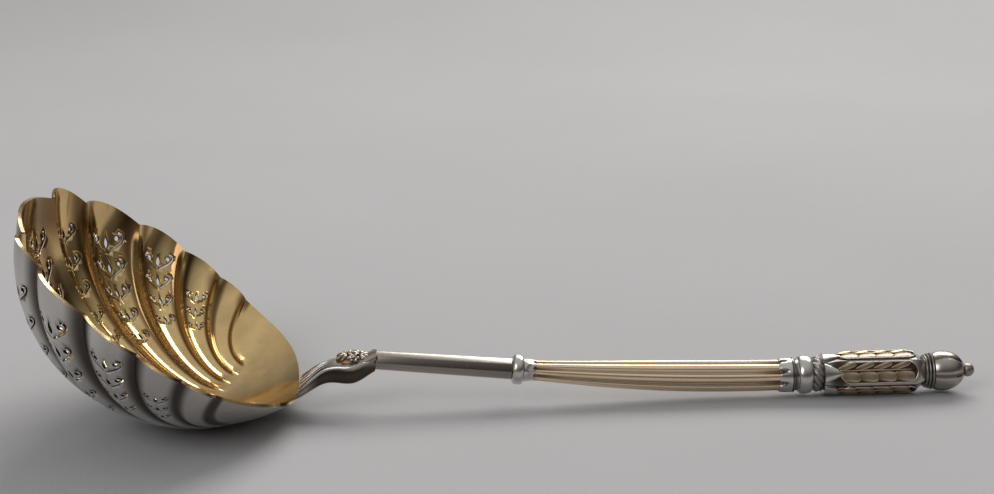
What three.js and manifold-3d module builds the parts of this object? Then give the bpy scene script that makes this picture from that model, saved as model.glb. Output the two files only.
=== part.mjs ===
// Sifter spoon: a pierced, fluted shell bowl, gilt inside, on a built-up silver handle with a reeded
// gilt stem, turned collars, a six-sided wheat-ear capital and a bud finial.
// Millimetres, +Z up, +X from the bowl towards the handle's end. The spoon lies on the plane z = 0, on a
// small flat under its bowl and on the lowest wheat ear of its capital.

import * as THREE from "three";
import { mergeVertices } from "three/addons/utils/BufferGeometryUtils.js";
import Module from "manifold-3d";

const wasm = await Module();
wasm.setup();

// Bowl
const BOWL_LENGTH = 60; // opening, heel to the notches beside the tip
const BOWL_WIDTH = 68.4; // opening, across
const BOWL_DEPTH = 19.2; // opening plane to the outside of the bottom
const BOWL_WALL = 0.9;
const BOWL_TILT = THREE.MathUtils.degToRad(37.1); // how far the tip is raised as the spoon lies
const REST_FLAT_DEPTH = 0.15; // worn off the underside where the bowl lies on the table
const RIB_ANGLES = [24, 43, 68, 89, 106, 120]; // where each rib meets the rim, in degrees from the tip
const LOBE_ARCHES = [0.7, 1.7, 1.4, 1.25, 0.8, 0.6]; // rise of each lobe's rim over its notches, from the tip
const HEEL_ARCH = 1.0;
const ROOT_DISTANCE = 19.3; // from the opening's centre back to the line where the ribs start
const ROOT_DRAWBACK = 2.3; // how far the ends of that line lie behind its middle
const ROOT_CENTRE_WIDTH = 6.0; // width of the middle lobe where it starts
const ROOT_PITCH = 2.56; // width of the other lobes where they start
const RIB_BOW_TIP = 0.09; // sideways bow of the ribs nearest the tip, as a share of their length
const RIB_BOW_HEEL = -0.09; // and of the ribs nearest the heel
const LOBE_BULGES = [0.05, 0.3, 0.27, 0.25, 0.2, 0.15]; // how full each lobe is, as a share of its width
const FULL_LOBE_WIDTH = 30; // the width at which a lobe is only half as full for its width

// Piercing: rows of a small leaf, a larger leaf and a dot, up each lobe
const SPRIG_COLUMNS = [0.25, 1, 2, 3, 4]; // places of the pierced columns, counted in lobes from the tip
const SPRIG_ROWS = [6, 5, 5, 4, 3]; // rows in each of those columns
const PLAIN_ROWS = [0, 0, 0, 0, 1]; // rows left plain next to the rim in each column
const FIRST_SPRIG = 0.15; // place of the row nearest the rim, as a share of the way down the wall
const SPRIG_PITCH = 0.098; // from row to row, as the same share
const SPRIG_LOBE_WIDTH = 10; // lobe width that suits a sprig of the sizes below
const CURL_SPREAD = 1.75; // from the leaf in a sprig's middle to the curl on each side
const CURL_RISE = 0.3;
const CURL_LEAN = THREE.MathUtils.degToRad(36);
const LEAF_HOLE_LENGTH = 2.2;
const LEAF_HOLE_WIDTH = 0.9;
const CURL_HOLE_LENGTH = 1.9;
const CURL_HOLE_WIDTH = 0.8;

// Bracket between bowl and stem, with a flower boss on it
const BRACKET_REACH = 14.3; // heel of the bowl to the start of the stem
const TONGUE_LAP = 5.5; // how far the bracket's tongue runs under the bowl
const TONGUE_WIDTH = 7.2;
const TONGUE_DEPTH = 1.0;
const HEEL_WIDTH = 9.0;
const HEEL_HEIGHT = 2.7;
const HEEL_RISE = 0.6;
const WAIST_FROM_HEEL = 5.0;
const WAIST_WIDTH = 4.8;
const WAIST_HEIGHT = 3.9;
const WAIST_RISE = 1.5; // how far the waist stands above the line from heel to stem
const BOSS_FROM_HEEL = 10.2;
const BOSS_WIDTH = 6.6;
const BOSS_HEIGHT = 4.7;
const BOSS_RISE = -0.1; // the same, under the flower boss
const SHOULDER_SIZE = 3.9; // the bracket's end, where the stem starts
const FLOWER_RADIUS = 2.8;
const FLOWER_HEIGHT = 1.3;
const FLOWER_SEAT_DEPTH = 0.35;
const FLOWER_PETALS = 6;

// Handle, each length along the handle's axis
const HANDLE_SLOPE = THREE.MathUtils.degToRad(5.5); // fall of the straight lower stem
const LOWER_STEM_LENGTH = 25.4;
const LOWER_STEM_START_RADIUS = 1.8;
const LOWER_STEM_END_RADIUS = 2.05;
const LOWER_STEM_SIDES = 8;
const LOWER_RING_WIDTH = 2.2;
const LOWER_RING_RADIUS = 2.85;
const CALYX_LENGTH = 2.8;
const CALYX_RADIUS = 2.15;
const FLUTED_LENGTH = 47.5;
const FLUTED_START_RADIUS = 1.85;
const FLUTED_FULL_RADIUS = 3.0;
const FLUTED_END_RADIUS = 2.9;
const FULLEST_PLACE = 0.72; // where the fluted stem is fullest, as a share of its length
const FLUTES = 8;
const FLUTE_DEPTH = 0.16; // as a share of the stem's radius
const FLUTE_TURN = THREE.MathUtils.degToRad(30);
const CUP_LENGTH = 2.4;
const CUP_FLARE = 0.15; // how much wider the cup is at its ring than at its mouth
const UPPER_RING_WIDTH = 4.0;
const UPPER_RING_RADIUS = 3.65;
const ROPE_RING_WIDTH = 1.9;
const ROPE_RING_RADIUS = 3.35;
const ROPE_STRANDS = 12;
const ROPE_DEPTH = 0.3;
const ROPE_TURN = THREE.MathUtils.degToRad(24); // twist of the strands across the ring
const CAPITAL_LENGTH = 19.2;
const CAPITAL_BASE_RADIUS = 3.35;
const CAPITAL_RADIUS = 4.0;
const CAPITAL_SIDES = 5;
const PANEL_HEIGHT = 0.3; // arched panel on each side of the capital
const PANEL_MARGIN = 0.15; // from the panel to the capital's corner
const KERNEL_HEIGHT = 0.35;
const KERNEL_SINK = 0.1; // how far a kernel's edge lies under the panel's face
const KERNEL_PAIRS = 5;
const KERNEL_GAP = 0.12;
const KERNEL_SLANT = 1.1; // how far a kernel's outer end lies ahead of its inner end
const LEAF_LENGTH = 4.0; // triangular leaf at the capital's base
const LEAF_HEIGHT = 0.35;
const SHOULDER_LENGTH = 1.4; // from the panels' arched ends to the neck
const NECK_LENGTH = 1.8;
const NECK_RADIUS = 3.45;
const BUD_LENGTH = 5.8;
const BUD_RADIUS = 3.75;
const BUD_PETALS = 6;
const BUD_GROOVE = 0.08; // depth between petals, as a share of the radius
const BALL_RADIUS = 1.28;

// Joints
const SOLDER_GAP = 0.1; // between neighbouring pieces
const STEM_TENON_RADIUS = 1.1;
const STEM_TENON_LENGTH = 1.4;
const STEM_DOWEL_RADIUS = 0.9;
const GRIP_DOWEL_RADIUS = 1.4;
const FINIAL_PIN_RADIUS = 0.8;
const DOWEL_GRIP = 4.0; // how far a dowel enters the piece at each end
const SEAT_LENGTH = 1.2; // turned end of the fluted stem inside the calyx and the cup
const SEAT_WALL = 0.35; // least wall of a collar round that end

const SILVER = { color: 0x9a948c, metalness: 1, roughness: 0.34 };
const GILT = { color: 0xc9a566, metalness: 1, roughness: 0.3 };
const DARK_SILVER = { color: 0x6f6a64, metalness: 1, roughness: 0.45 };

const cylinderSteps = 18;
const handleAxis = new THREE.Vector3(0, 1, 0); // a handle piece's own axis

// Geometry helpers

function geometryFrom(points, faces) {
  const geometry = new THREE.BufferGeometry();
  const flat = points.flatMap((p) => [p.x, p.y, p.z]);
  geometry.setAttribute("position", new THREE.Float32BufferAttribute(flat, 3));
  geometry.setIndex(faces.flat());
  return geometry;
}

function signedVolume(points, faces) {
  const product = new THREE.Vector3();
  let sum = 0;
  for (const [a, b, c] of faces) sum += points[a].dot(product.crossVectors(points[b], points[c]));
  return sum / 6;
}

// A closed surface, turned so that its faces point outwards.
function closedGeometry(points, faces) {
  const outward = signedVolume(points, faces) > 0;
  return geometryFrom(points, outward ? faces : faces.map(([a, b, c]) => [a, c, b]));
}

// A solid through rings of equal counts of points, with both ends closed.
function loft(rings) {
  const count = rings[0].length;
  const points = rings.flat();
  const faces = [];
  for (let ring = 0; ring + 1 < rings.length; ring++) {
    for (let i = 0; i < count; i++) {
      const a = ring * count + i;
      const b = ring * count + ((i + 1) % count);
      faces.push([a, b, b + count], [a, b + count, a + count]);
    }
  }
  for (const [ring, flip] of [[0, true], [rings.length - 1, false]]) {
    const centre = points.length;
    points.push(rings[ring].reduce((sum, p) => sum.add(p), new THREE.Vector3()).divideScalar(count));
    for (let i = 0; i < count; i++) {
      const a = ring * count + i;
      const b = ring * count + ((i + 1) % count);
      faces.push(flip ? [b, a, centre] : [a, b, centre]);
    }
  }
  return closedGeometry(points, faces);
}

function solid(geometry, matrix = new THREE.Matrix4()) {
  const bare = new THREE.BufferGeometry();
  bare.setAttribute("position", geometry.getAttribute("position").clone());
  if (geometry.index) bare.setIndex(geometry.index.clone());
  bare.applyMatrix4(matrix);
  const merged = mergeVertices(bare, 1e-4);
  return new wasm.Manifold(
    new wasm.Mesh({
      numProp: 3,
      vertProperties: merged.attributes.position.array,
      triVerts: new Uint32Array(merged.index.array),
    }),
  );
}

function geometryOf(manifold) {
  const mesh = manifold.getMesh();
  const geometry = new THREE.BufferGeometry();
  geometry.setAttribute("position", new THREE.BufferAttribute(new Float32Array(mesh.vertProperties), 3));
  geometry.setIndex(new THREE.BufferAttribute(new Uint32Array(mesh.triVerts), 1));
  geometry.computeVertexNormals();
  return geometry;
}

function piece(name, manifold, finish) {
  const mesh = new THREE.Mesh(geometryOf(manifold), new THREE.MeshStandardMaterial(finish));
  mesh.name = name;
  return mesh;
}

// A round bar along the piece's own Y axis, from one height to another.
function roundBar(radius, from, to) {
  const bar = new THREE.CylinderGeometry(radius, radius, to - from, cylinderSteps);
  return solid(bar, new THREE.Matrix4().makeTranslation(0, (from + to) / 2, 0));
}

// A turned piece from its outline in radius and height, closed along the axis.
function turned(outline, steps = cylinderSteps) {
  const first = outline[0];
  const last = outline[outline.length - 1];
  const profile = [new THREE.Vector2(0, first[1])];
  for (const [radius, height] of outline) profile.push(new THREE.Vector2(radius, height));
  profile.push(new THREE.Vector2(0, last[1]));
  return solid(new THREE.LatheGeometry(profile, steps));
}

// Points of an arc bulging outwards between two heights, from one radius up to a crown and back.
function beadOutline(edgeRadius, crownRadius, from, to, steps) {
  const outline = [];
  for (let i = 0; i <= steps; i++) {
    const angle = (Math.PI * i) / steps;
    const height = (from + to) / 2 - (Math.cos(angle) * (to - from)) / 2;
    outline.push([edgeRadius + (crownRadius - edgeRadius) * Math.sin(angle), height]);
  }
  return outline;
}

// A ring of points at one height, its radius given by the angle round the axis.
function ringAt(height, count, radiusAt, turn = 0) {
  const ring = [];
  for (let i = 0; i < count; i++) {
    const angle = (2 * Math.PI * i) / count + turn;
    const radius = radiusAt(angle);
    ring.push(new THREE.Vector3(radius * Math.cos(angle), height, radius * Math.sin(angle)));
  }
  return ring;
}

// Bowl: part of a sphere widened sideways, its axes along X (towards the heel), Y and Z (out of the bowl)

const halfLength = BOWL_LENGTH / 2;
const halfWidth = BOWL_WIDTH / 2;
const capRadius = (halfLength ** 2 + BOWL_DEPTH ** 2) / (2 * BOWL_DEPTH);
const capHeight = capRadius - BOWL_DEPTH; // sphere's centre above the opening
const rimAngle = Math.acos(capHeight / capRadius);
const widening = halfWidth / halfLength;
const lobeCount = 2 * RIB_ANGLES.length - 1;
const outerRib = lobeCount / 2;
const lobeSteps = 5;
const fanRows = 8;
const heelRows = 3;

// The value at a place across the fan, where ribs lie at the half numbers and the tip at 0.
function acrossRibs(place, valueAt) {
  const side = Math.sign(place);
  const rib = Math.abs(place) - 0.5;
  if (rib <= 0) return (valueAt(0) * place) / 0.5;
  const low = Math.min(Math.floor(rib), RIB_ANGLES.length - 2);
  return side * THREE.MathUtils.lerp(valueAt(low), valueAt(low + 1), rib - low);
}

const ribRimAngle = (rib) => THREE.MathUtils.degToRad(RIB_ANGLES[rib]);
const ribRoot = (rib) => ROOT_CENTRE_WIDTH / 2 + ROOT_PITCH * rib;
const ribBow = (rib) => THREE.MathUtils.lerp(RIB_BOW_TIP, RIB_BOW_HEEL, rib / (RIB_ANGLES.length - 1));
const rootHalfWidth = ribRoot(RIB_ANGLES.length - 1);

// Plan point on the rim, raised above the notches along the wall by a rise.
function rimPoint(angle, rise) {
  const reach = Math.sin(rimAngle + rise / capRadius) / Math.sin(rimAngle);
  return new THREE.Vector2(-halfLength * reach * Math.cos(angle), halfWidth * reach * Math.sin(angle));
}

function rootPoint(place) {
  const across = acrossRibs(place, ribRoot);
  return new THREE.Vector2(ROOT_DISTANCE + ROOT_DRAWBACK * (across / rootHalfWidth) ** 2, across);
}

const lobeAt = (place) => Math.min(Math.round(Math.abs(place)), RIB_ANGLES.length - 1);
const acrossLobe = (place) => 1 - (2 * (Math.abs(Math.abs(place) - lobeAt(place)))) ** 2;

// Plan point on the fan, from the root (0) to the rim (1).
function fanPoint(place, along) {
  const start = rootPoint(place);
  const end = rimPoint(acrossRibs(place, ribRimAngle), LOBE_ARCHES[lobeAt(place)] * acrossLobe(place));
  const run = end.clone().sub(start);
  const bow = 4 * along * (1 - along) * acrossRibs(place, ribBow);
  return new THREE.Vector2(
    start.x + run.x * along + Math.abs(run.y) * bow * Math.sign(place),
    start.y + run.y * along - run.x * bow,
  );
}

function lobeWidth(lobe, along) {
  return fanPoint(lobe - 0.5, along).distanceTo(fanPoint(lobe + 0.5, along));
}

// How far a lobe stands out from the sphere.
function bulge(place, along) {
  const width = lobeWidth(lobeAt(place), along);
  const onset = THREE.MathUtils.smoothstep(along, 0, 0.15);
  return (LOBE_BULGES[lobeAt(place)] * width * onset * acrossLobe(place)) / (1 + width / FULL_LOBE_WIDTH);
}

// A point over a plan point, moved out from the sphere by an offset, and the sphere's normal there.
function onSphere(plan, offset) {
  const reach = Math.min(Math.hypot(plan.x / halfLength, plan.y / halfWidth) * Math.sin(rimAngle), 0.999);
  const height = -Math.sqrt(1 - reach * reach) * capRadius;
  const normal = new THREE.Vector3(plan.x, plan.y / widening ** 2, height).normalize();
  const point = new THREE.Vector3(plan.x, plan.y, capHeight + height).addScaledVector(normal, offset);
  return { point, normal };
}

// Rows are closer together in plan where the wall is steep.
function rowPlace(row, rows) {
  const low = -Math.asin(ROOT_DISTANCE / capRadius);
  const swing = Math.sin(THREE.MathUtils.lerp(low, rimAngle, row / rows));
  return (swing - Math.sin(low)) / (Math.sin(rimAngle) - Math.sin(low));
}

// Vertices of the bowl's skin as plan points with their bulge, its triangles, and its edge in order.
function bowlNet() {
  const nodes = [];
  const faces = [];
  const add = (plan, out) => nodes.push({ plan, out }) - 1;
  const fan = [];
  for (let column = 0; column <= lobeCount * lobeSteps; column++) {
    const place = outerRib - column / lobeSteps;
    const line = [];
    for (let row = 0; row <= fanRows; row++) {
      const along = rowPlace(row, fanRows);
      line.push(add(fanPoint(place, along), bulge(place, along)));
    }
    fan.push(line);
  }
  for (let column = 0; column + 1 < fan.length; column++) {
    for (let row = 0; row < fanRows; row++) {
      const [a, b] = [fan[column][row], fan[column + 1][row]];
      const [c, d] = [fan[column + 1][row + 1], fan[column][row + 1]];
      faces.push([a, b, c], [a, c, d]);
    }
  }
  // The smooth heel lies between the fan's outer ribs and root line, and the rim behind them.
  const inner = [...fan[0]].reverse();
  for (let column = 1; column + 1 < fan.length; column++) inner.push(fan[column][0]);
  inner.push(...fan[fan.length - 1]);
  const steps = inner.length - 1;
  const heelStart = ribRimAngle(RIB_ANGLES.length - 1);
  const heelRim = (step) => {
    const share = step / steps;
    const angle = THREE.MathUtils.lerp(heelStart, 2 * Math.PI - heelStart, share);
    return rimPoint(angle, HEEL_ARCH * Math.sin(2 * Math.PI * share) ** 2);
  };
  let previous = inner;
  for (let row = 1; row <= heelRows; row++) {
    const line = [inner[0]];
    for (let step = 1; step < steps; step++) {
      line.push(add(nodes[inner[step]].plan.clone().lerp(heelRim(step), row / heelRows), 0));
    }
    line.push(inner[steps]);
    for (let step = 0; step < steps; step++) {
      const [a, b, c, d] = [previous[step], previous[step + 1], line[step + 1], line[step]];
      if (b !== c) faces.push([a, c, b]);
      if (a !== d) faces.push([a, d, c]);
    }
    previous = line;
  }
  const tipEdge = fan.map((line) => line[fanRows]);
  const edge = [...tipEdge, ...previous.slice(1, -1).reverse()];
  return { nodes, faces, edge };
}

const net = bowlNet();

// A closed bowl shell between two offsets from the outside.
function shellGeometry(outside, inside) {
  const count = net.nodes.length;
  const points = [outside, inside].flatMap((offset) =>
    net.nodes.map(({ plan, out }) => onSphere(plan, out + offset).point),
  );
  const faces = [...net.faces, ...net.faces.map(([a, b, c]) => [a + count, c + count, b + count])];
  net.edge.forEach((from, i) => {
    const to = net.edge[(i + 1) % net.edge.length];
    faces.push([from, to, to + count], [from, to + count, from + count]);
  });
  return closedGeometry(points, faces);
}

// Everything inside the bowl's outside and straight above its rim.
function bowlEnvelope(clearance, headroom) {
  const count = net.nodes.length;
  const points = net.nodes.map(({ plan, out }) => onSphere(plan, out + clearance).point);
  const faces = [...net.faces];
  const lift = new THREE.Vector3(0, 0, headroom);
  const lid = points.push(new THREE.Vector3(0, 0, headroom)) - 1;
  const raised = net.edge.map((from) => points.push(points[from].clone().add(lift)) - 1);
  net.edge.forEach((from, i) => {
    const next = (i + 1) % net.edge.length;
    const to = net.edge[next];
    faces.push([from, to, raised[next]], [from, raised[next], raised[i]], [raised[i], raised[next], lid]);
  });
  if (points.length !== count + 1 + net.edge.length) throw new Error("the envelope's points don't add up");
  return closedGeometry(points, faces);
}

// Outline of a leaf-shaped hole, pointed towards +Y.
function leafShape(length, width) {
  const shape = new THREE.Shape();
  shape.moveTo(0, length / 2);
  shape.lineTo(-width / 2, -length / 5);
  shape.lineTo(0, -length / 2);
  shape.lineTo(width / 2, -length / 5);
  return shape;
}

// A cutter through the wall at a place on a lobe, with its own Y up the lobe.
function holeCutter(shape, place, along, scale, side = 0, rise = 0, lean = 0) {
  const reach = 2 * BOWL_WALL;
  const here = fanPoint(place, along);
  const out = bulge(place, along);
  const { point, normal } = onSphere(here, out);
  const ahead = onSphere(fanPoint(place, along + 0.02), out).point;
  const up = ahead.sub(point).normalize();
  const across = new THREE.Vector3().crossVectors(up, normal).normalize();
  up.crossVectors(normal, across);
  const depth = 2 * reach;
  const cutter = new THREE.ExtrudeGeometry(shape, { depth, bevelEnabled: false, curveSegments: 3 });
  cutter.translate(0, 0, -reach);
  cutter.rotateZ(lean);
  cutter.translate(side, rise, 0);
  cutter.scale(scale, scale, 1);
  const matrix = new THREE.Matrix4().makeBasis(across, up, normal);
  matrix.setPosition(point);
  return solid(cutter, matrix);
}

function sprig(place, along, scale) {
  const leaf = leafShape(LEAF_HOLE_LENGTH, LEAF_HOLE_WIDTH);
  const curl = leafShape(CURL_HOLE_LENGTH, CURL_HOLE_WIDTH);
  return [
    holeCutter(leaf, place, along, scale),
    holeCutter(curl, place, along, scale, -CURL_SPREAD, CURL_RISE, CURL_LEAN),
    holeCutter(curl, place, along, scale, CURL_SPREAD, CURL_RISE, -CURL_LEAN),
  ];
}

function piercing() {
  const cutters = [];
  SPRIG_COLUMNS.forEach((column, index) => {
    const room = column < 0.5 ? 0.5 : 1; // the tip's lobe has two columns
    for (let row = 0; row < SPRIG_ROWS[index]; row++) {
      const down = FIRST_SPRIG + (row + PLAIN_ROWS[index]) * SPRIG_PITCH;
      const along = rowPlace(1 - down, 1);
      const scale = Math.min((room * lobeWidth(lobeAt(column), along)) / SPRIG_LOBE_WIDTH, 1.2);
      cutters.push(...sprig(column, along, scale), ...sprig(-column, along, scale));
    }
  });
  return wasm.Manifold.union(cutters);
}

const restDistance = capHeight * Math.sin(BOWL_TILT); // from the opening's centre to the bowl's rest
const bowlHeight = capRadius - capHeight * Math.cos(BOWL_TILT) - REST_FLAT_DEPTH;
const bowlPlace = new THREE.Matrix4().makeRotationY(BOWL_TILT).setPosition(0, 0, bowlHeight);
const heelPoint = new THREE.Vector3(halfLength, 0, 0).applyMatrix4(bowlPlace);

// A block that fills everything below the table.
function belowTable() {
  const size = 4 * BOWL_LENGTH;
  return solid(new THREE.BoxGeometry(size, size, size), new THREE.Matrix4().makeTranslation(0, 0, -size / 2));
}

function bowl() {
  const shell = solid(shellGeometry(0, -BOWL_WALL)).subtract(piercing());
  const toBowl = bowlPlace.clone().invert();
  const lying = shell.subtract(belowTable().transform(toBowl.elements));
  const mesh = piece("bowl", lying, SILVER);
  mesh.rotation.y = BOWL_TILT;
  mesh.position.z = bowlHeight;
  return mesh;
}

// Handle's axis: straight along the lower stem, then a gentle arc to level along the fluted stem

const ringStart = LOWER_STEM_LENGTH;
const calyxStart = ringStart + LOWER_RING_WIDTH;
const flutedStart = calyxStart + CALYX_LENGTH - SEAT_LENGTH;
const cupStart = flutedStart + FLUTED_LENGTH - SEAT_LENGTH;
const upperRingStart = cupStart + CUP_LENGTH;
const ropeRingStart = upperRingStart + UPPER_RING_WIDTH;
const capitalStart = ropeRingStart + ROPE_RING_WIDTH;
const neckStart = capitalStart + CAPITAL_LENGTH;
const budStart = neckStart + NECK_LENGTH;
const ballCentre = budStart + BUD_LENGTH + BALL_RADIUS * 0.8;

const capitalInradius = CAPITAL_RADIUS * Math.cos(Math.PI / CAPITAL_SIDES);
const panelHalfWidth = CAPITAL_RADIUS * Math.sin(Math.PI / CAPITAL_SIDES) - PANEL_MARGIN;
const panelReach =
  (capitalInradius + PANEL_HEIGHT) * Math.cos(Math.PI / CAPITAL_SIDES) +
  panelHalfWidth * Math.sin(Math.PI / CAPITAL_SIDES);
const restHeight = Math.max(panelReach, UPPER_RING_RADIUS, BUD_RADIUS);
const arcRadius = FLUTED_LENGTH / HANDLE_SLOPE;
const arcFall = arcRadius * (1 - Math.cos(HANDLE_SLOPE));
const stemStart = new THREE.Vector3(
  heelPoint.x + BRACKET_REACH,
  0,
  restHeight + arcFall + flutedStart * Math.sin(HANDLE_SLOPE),
);

// Place and slope of the handle's axis at a distance from the start of the stem.
function axisAt(distance) {
  const straight = Math.min(distance, flutedStart);
  const curved = THREE.MathUtils.clamp(distance - flutedStart, 0, FLUTED_LENGTH);
  const level = Math.max(distance - flutedStart - FLUTED_LENGTH, 0);
  const slope = HANDLE_SLOPE - curved / arcRadius;
  const arcRun = arcRadius * (Math.sin(HANDLE_SLOPE) - Math.sin(slope));
  const arcDrop = arcRadius * (Math.cos(slope) - Math.cos(HANDLE_SLOPE));
  const x = straight * Math.cos(HANDLE_SLOPE) + arcRun + level;
  const fall = straight * Math.sin(HANDLE_SLOPE) + arcDrop;
  return { point: new THREE.Vector3(stemStart.x + x, 0, stemStart.z - fall), slope };
}

// A group whose Y axis runs along the handle from a distance, with Z up and X towards the front.
function alongHandle(distance, ...meshes) {
  const { point, slope } = axisAt(distance);
  const lean = new THREE.Group();
  lean.rotation.y = slope;
  lean.position.copy(point);
  const turn = new THREE.Group();
  turn.rotation.z = -Math.PI / 2;
  turn.add(...meshes);
  lean.add(turn);
  return lean;
}

// Bracket

function bracketStations() {
  const reach = stemStart.x - heelPoint.x;
  const line = (x) => THREE.MathUtils.lerp(heelPoint.z, stemStart.z, x / reach);
  const underBowl = capRadius - REST_FLAT_DEPTH;
  const fromLowest = heelPoint.x - TONGUE_LAP - restDistance;
  const tongueHeight = underBowl - Math.sqrt(capRadius ** 2 - fromLowest ** 2);
  return [
    { x: -TONGUE_LAP, z: tongueHeight, width: TONGUE_WIDTH, height: TONGUE_DEPTH },
    { x: 0, z: line(0) + HEEL_RISE, width: HEEL_WIDTH, height: HEEL_HEIGHT },
    { x: WAIST_FROM_HEEL, z: line(WAIST_FROM_HEEL) + WAIST_RISE, width: WAIST_WIDTH, height: WAIST_HEIGHT },
    { x: BOSS_FROM_HEEL, z: line(BOSS_FROM_HEEL) + BOSS_RISE, width: BOSS_WIDTH, height: BOSS_HEIGHT },
    { x: reach, z: stemStart.z, width: SHOULDER_SIZE, height: SHOULDER_SIZE },
  ];
}

// Section of the bracket, as shares of its half width and half height: crowned top, raised edge, hollow side.
const bracketSection = [
  [0, 1], [0.5, 0.94], [0.86, 0.8], [1, 0.6], [0.98, 0.4], [0.74, 0.05],
  [0.72, -0.4], [0.66, -0.78], [0.4, -0.96], [0, -1],
];

function bracketRing(station, lean) {
  const mirrored = bracketSection.slice(1, -1).reverse().map(([y, z]) => [-y, z]);
  return [...bracketSection, ...mirrored].map(([y, z]) => {
    const up = (z * station.height) / 2;
    return new THREE.Vector3(
      heelPoint.x + station.x + up * Math.sin(lean),
      (y * station.width) / 2,
      station.z + up * Math.cos(lean),
    );
  });
}

function flowerSeat() {
  const boss = bracketStations()[3];
  return new THREE.Vector3(heelPoint.x + boss.x, 0, boss.z + boss.height / 2 - FLOWER_SEAT_DEPTH);
}

function heelBracket() {
  const stations = bracketStations();
  const places = stations.map(({ x, z }) => new THREE.Vector3(x, 0, z));
  const spine = new THREE.CatmullRomCurve3(places, false, "centripetal");
  const girths = stations.map(({ width, height }) => new THREE.Vector3(width, height, 0));
  const sizes = new THREE.CatmullRomCurve3(girths);
  const rings = [];
  const steps = 15;
  for (let i = 0; i <= steps; i++) {
    const at = spine.getPoint(i / steps);
    const size = sizes.getPoint(i / steps);
    const lean = (HANDLE_SLOPE * i) / steps;
    rings.push(bracketRing({ x: at.x, z: at.z, width: size.x, height: size.y }, lean));
  }
  const seat = flowerSeat();
  const seatRadiusHere = FLOWER_RADIUS + SOLDER_GAP;
  const seatCut = new THREE.CylinderGeometry(seatRadiusHere, seatRadiusHere, BOSS_HEIGHT, cylinderSteps);
  seatCut.rotateX(Math.PI / 2);
  const { slope } = axisAt(0);
  const toHandle = new THREE.Matrix4().makeRotationY(slope).setPosition(stemStart);
  toHandle.multiply(new THREE.Matrix4().makeRotationZ(-Math.PI / 2));
  const socket = roundBar(STEM_TENON_RADIUS + SOLDER_GAP, -STEM_TENON_LENGTH - SOLDER_GAP, 2);
  const body = solid(loft(rings))
    .subtract(solid(bowlEnvelope(SOLDER_GAP, BOWL_DEPTH), bowlPlace))
    .subtract(solid(seatCut, new THREE.Matrix4().makeTranslation(seat.x, 0, seat.z + BOSS_HEIGHT / 2)))
    .subtract(socket.transform(toHandle.elements));
  return piece("heel_bracket", body, SILVER);
}

function flowerBoss() {
  const steps = 4 * FLOWER_PETALS;
  const petal = (angle, depth) => 1 - depth * (0.5 - 0.5 * Math.cos(FLOWER_PETALS * angle));
  const ring = (share, height, depth) =>
    ringAt(height * FLOWER_HEIGHT, steps, (angle) => FLOWER_RADIUS * share * petal(angle, depth));
  const rings = [
    ring(0.86, 0, 0), ring(1, 0.2, 0.16), ring(0.9, 0.62, 0.2), ring(0.55, 0.7, 0.18),
    ring(0.34, 0.5, 0), ring(0.3, 0.86, 0), ring(0.16, 1, 0),
  ];
  const mesh = piece("flower_boss", solid(loft(rings)), SILVER);
  mesh.rotation.x = Math.PI / 2;
  const seat = flowerSeat();
  mesh.position.set(seat.x, 0, seat.z + SOLDER_GAP / 2);
  return mesh;
}

// Lower stem and its collars

function lowerStem() {
  const from = SOLDER_GAP;
  const to = LOWER_STEM_LENGTH - SOLDER_GAP / 2;
  const swell = (height) => THREE.MathUtils.lerp(LOWER_STEM_START_RADIUS, LOWER_STEM_END_RADIUS, height / to);
  const rings = [from, to].map((height) => ringAt(height, LOWER_STEM_SIDES, () => swell(height)));
  const stem = solid(loft(rings))
    .add(roundBar(STEM_TENON_RADIUS, -STEM_TENON_LENGTH, 2 * from))
    .subtract(roundBar(STEM_DOWEL_RADIUS + SOLDER_GAP, to - DOWEL_GRIP, to + 1));
  return piece("lower_stem", stem, SILVER);
}

// A collar with a rounded bead between two narrow lips, bored for its dowel.
function collar(name, width, crown, lip, bore) {
  const from = SOLDER_GAP / 2;
  const to = width - SOLDER_GAP / 2;
  const fillet = width * 0.1;
  const bead = beadOutline(lip + fillet, crown, from + fillet, to - fillet, 6);
  const outline = [[lip, from], ...bead, [lip, to]];
  const body = turned(outline).subtract(roundBar(bore + SOLDER_GAP, -1, width + 1));
  return piece(name, body, SILVER);
}

function lowerRing() {
  const ring = collar("lower_ring", LOWER_RING_WIDTH, LOWER_RING_RADIUS, CALYX_RADIUS, STEM_DOWEL_RADIUS);
  return alongHandle(ringStart, ring);
}

function upperRing() {
  const ring = collar("upper_ring", UPPER_RING_WIDTH, UPPER_RING_RADIUS, ROPE_RING_RADIUS, GRIP_DOWEL_RADIUS);
  return alongHandle(upperRingStart, ring);
}

const seatRadius = (radius) => radius * (1 - FLUTE_DEPTH) - SEAT_WALL;

// A cutter for the pointed notches in a cup's edge, one in line with each flute.
function fluteNotches(radius, depth) {
  const cutters = [];
  const half = (Math.PI * radius) / FLUTES / 2;
  for (let flute = 0; flute < FLUTES; flute++) {
    const shape = new THREE.Shape();
    shape.moveTo(-half * 1.5, -depth / 2);
    shape.lineTo(half * 1.5, -depth / 2);
    shape.lineTo(0, depth);
    const notch = new THREE.ExtrudeGeometry(shape, { depth: radius, bevelEnabled: false });
    notch.translate(0, 0, radius / 2);
    const angle = (2 * Math.PI * flute) / FLUTES + FLUTE_TURN;
    cutters.push(solid(notch, new THREE.Matrix4().makeRotationY(Math.PI / 2 - angle)));
  }
  return wasm.Manifold.union(cutters);
}

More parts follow.
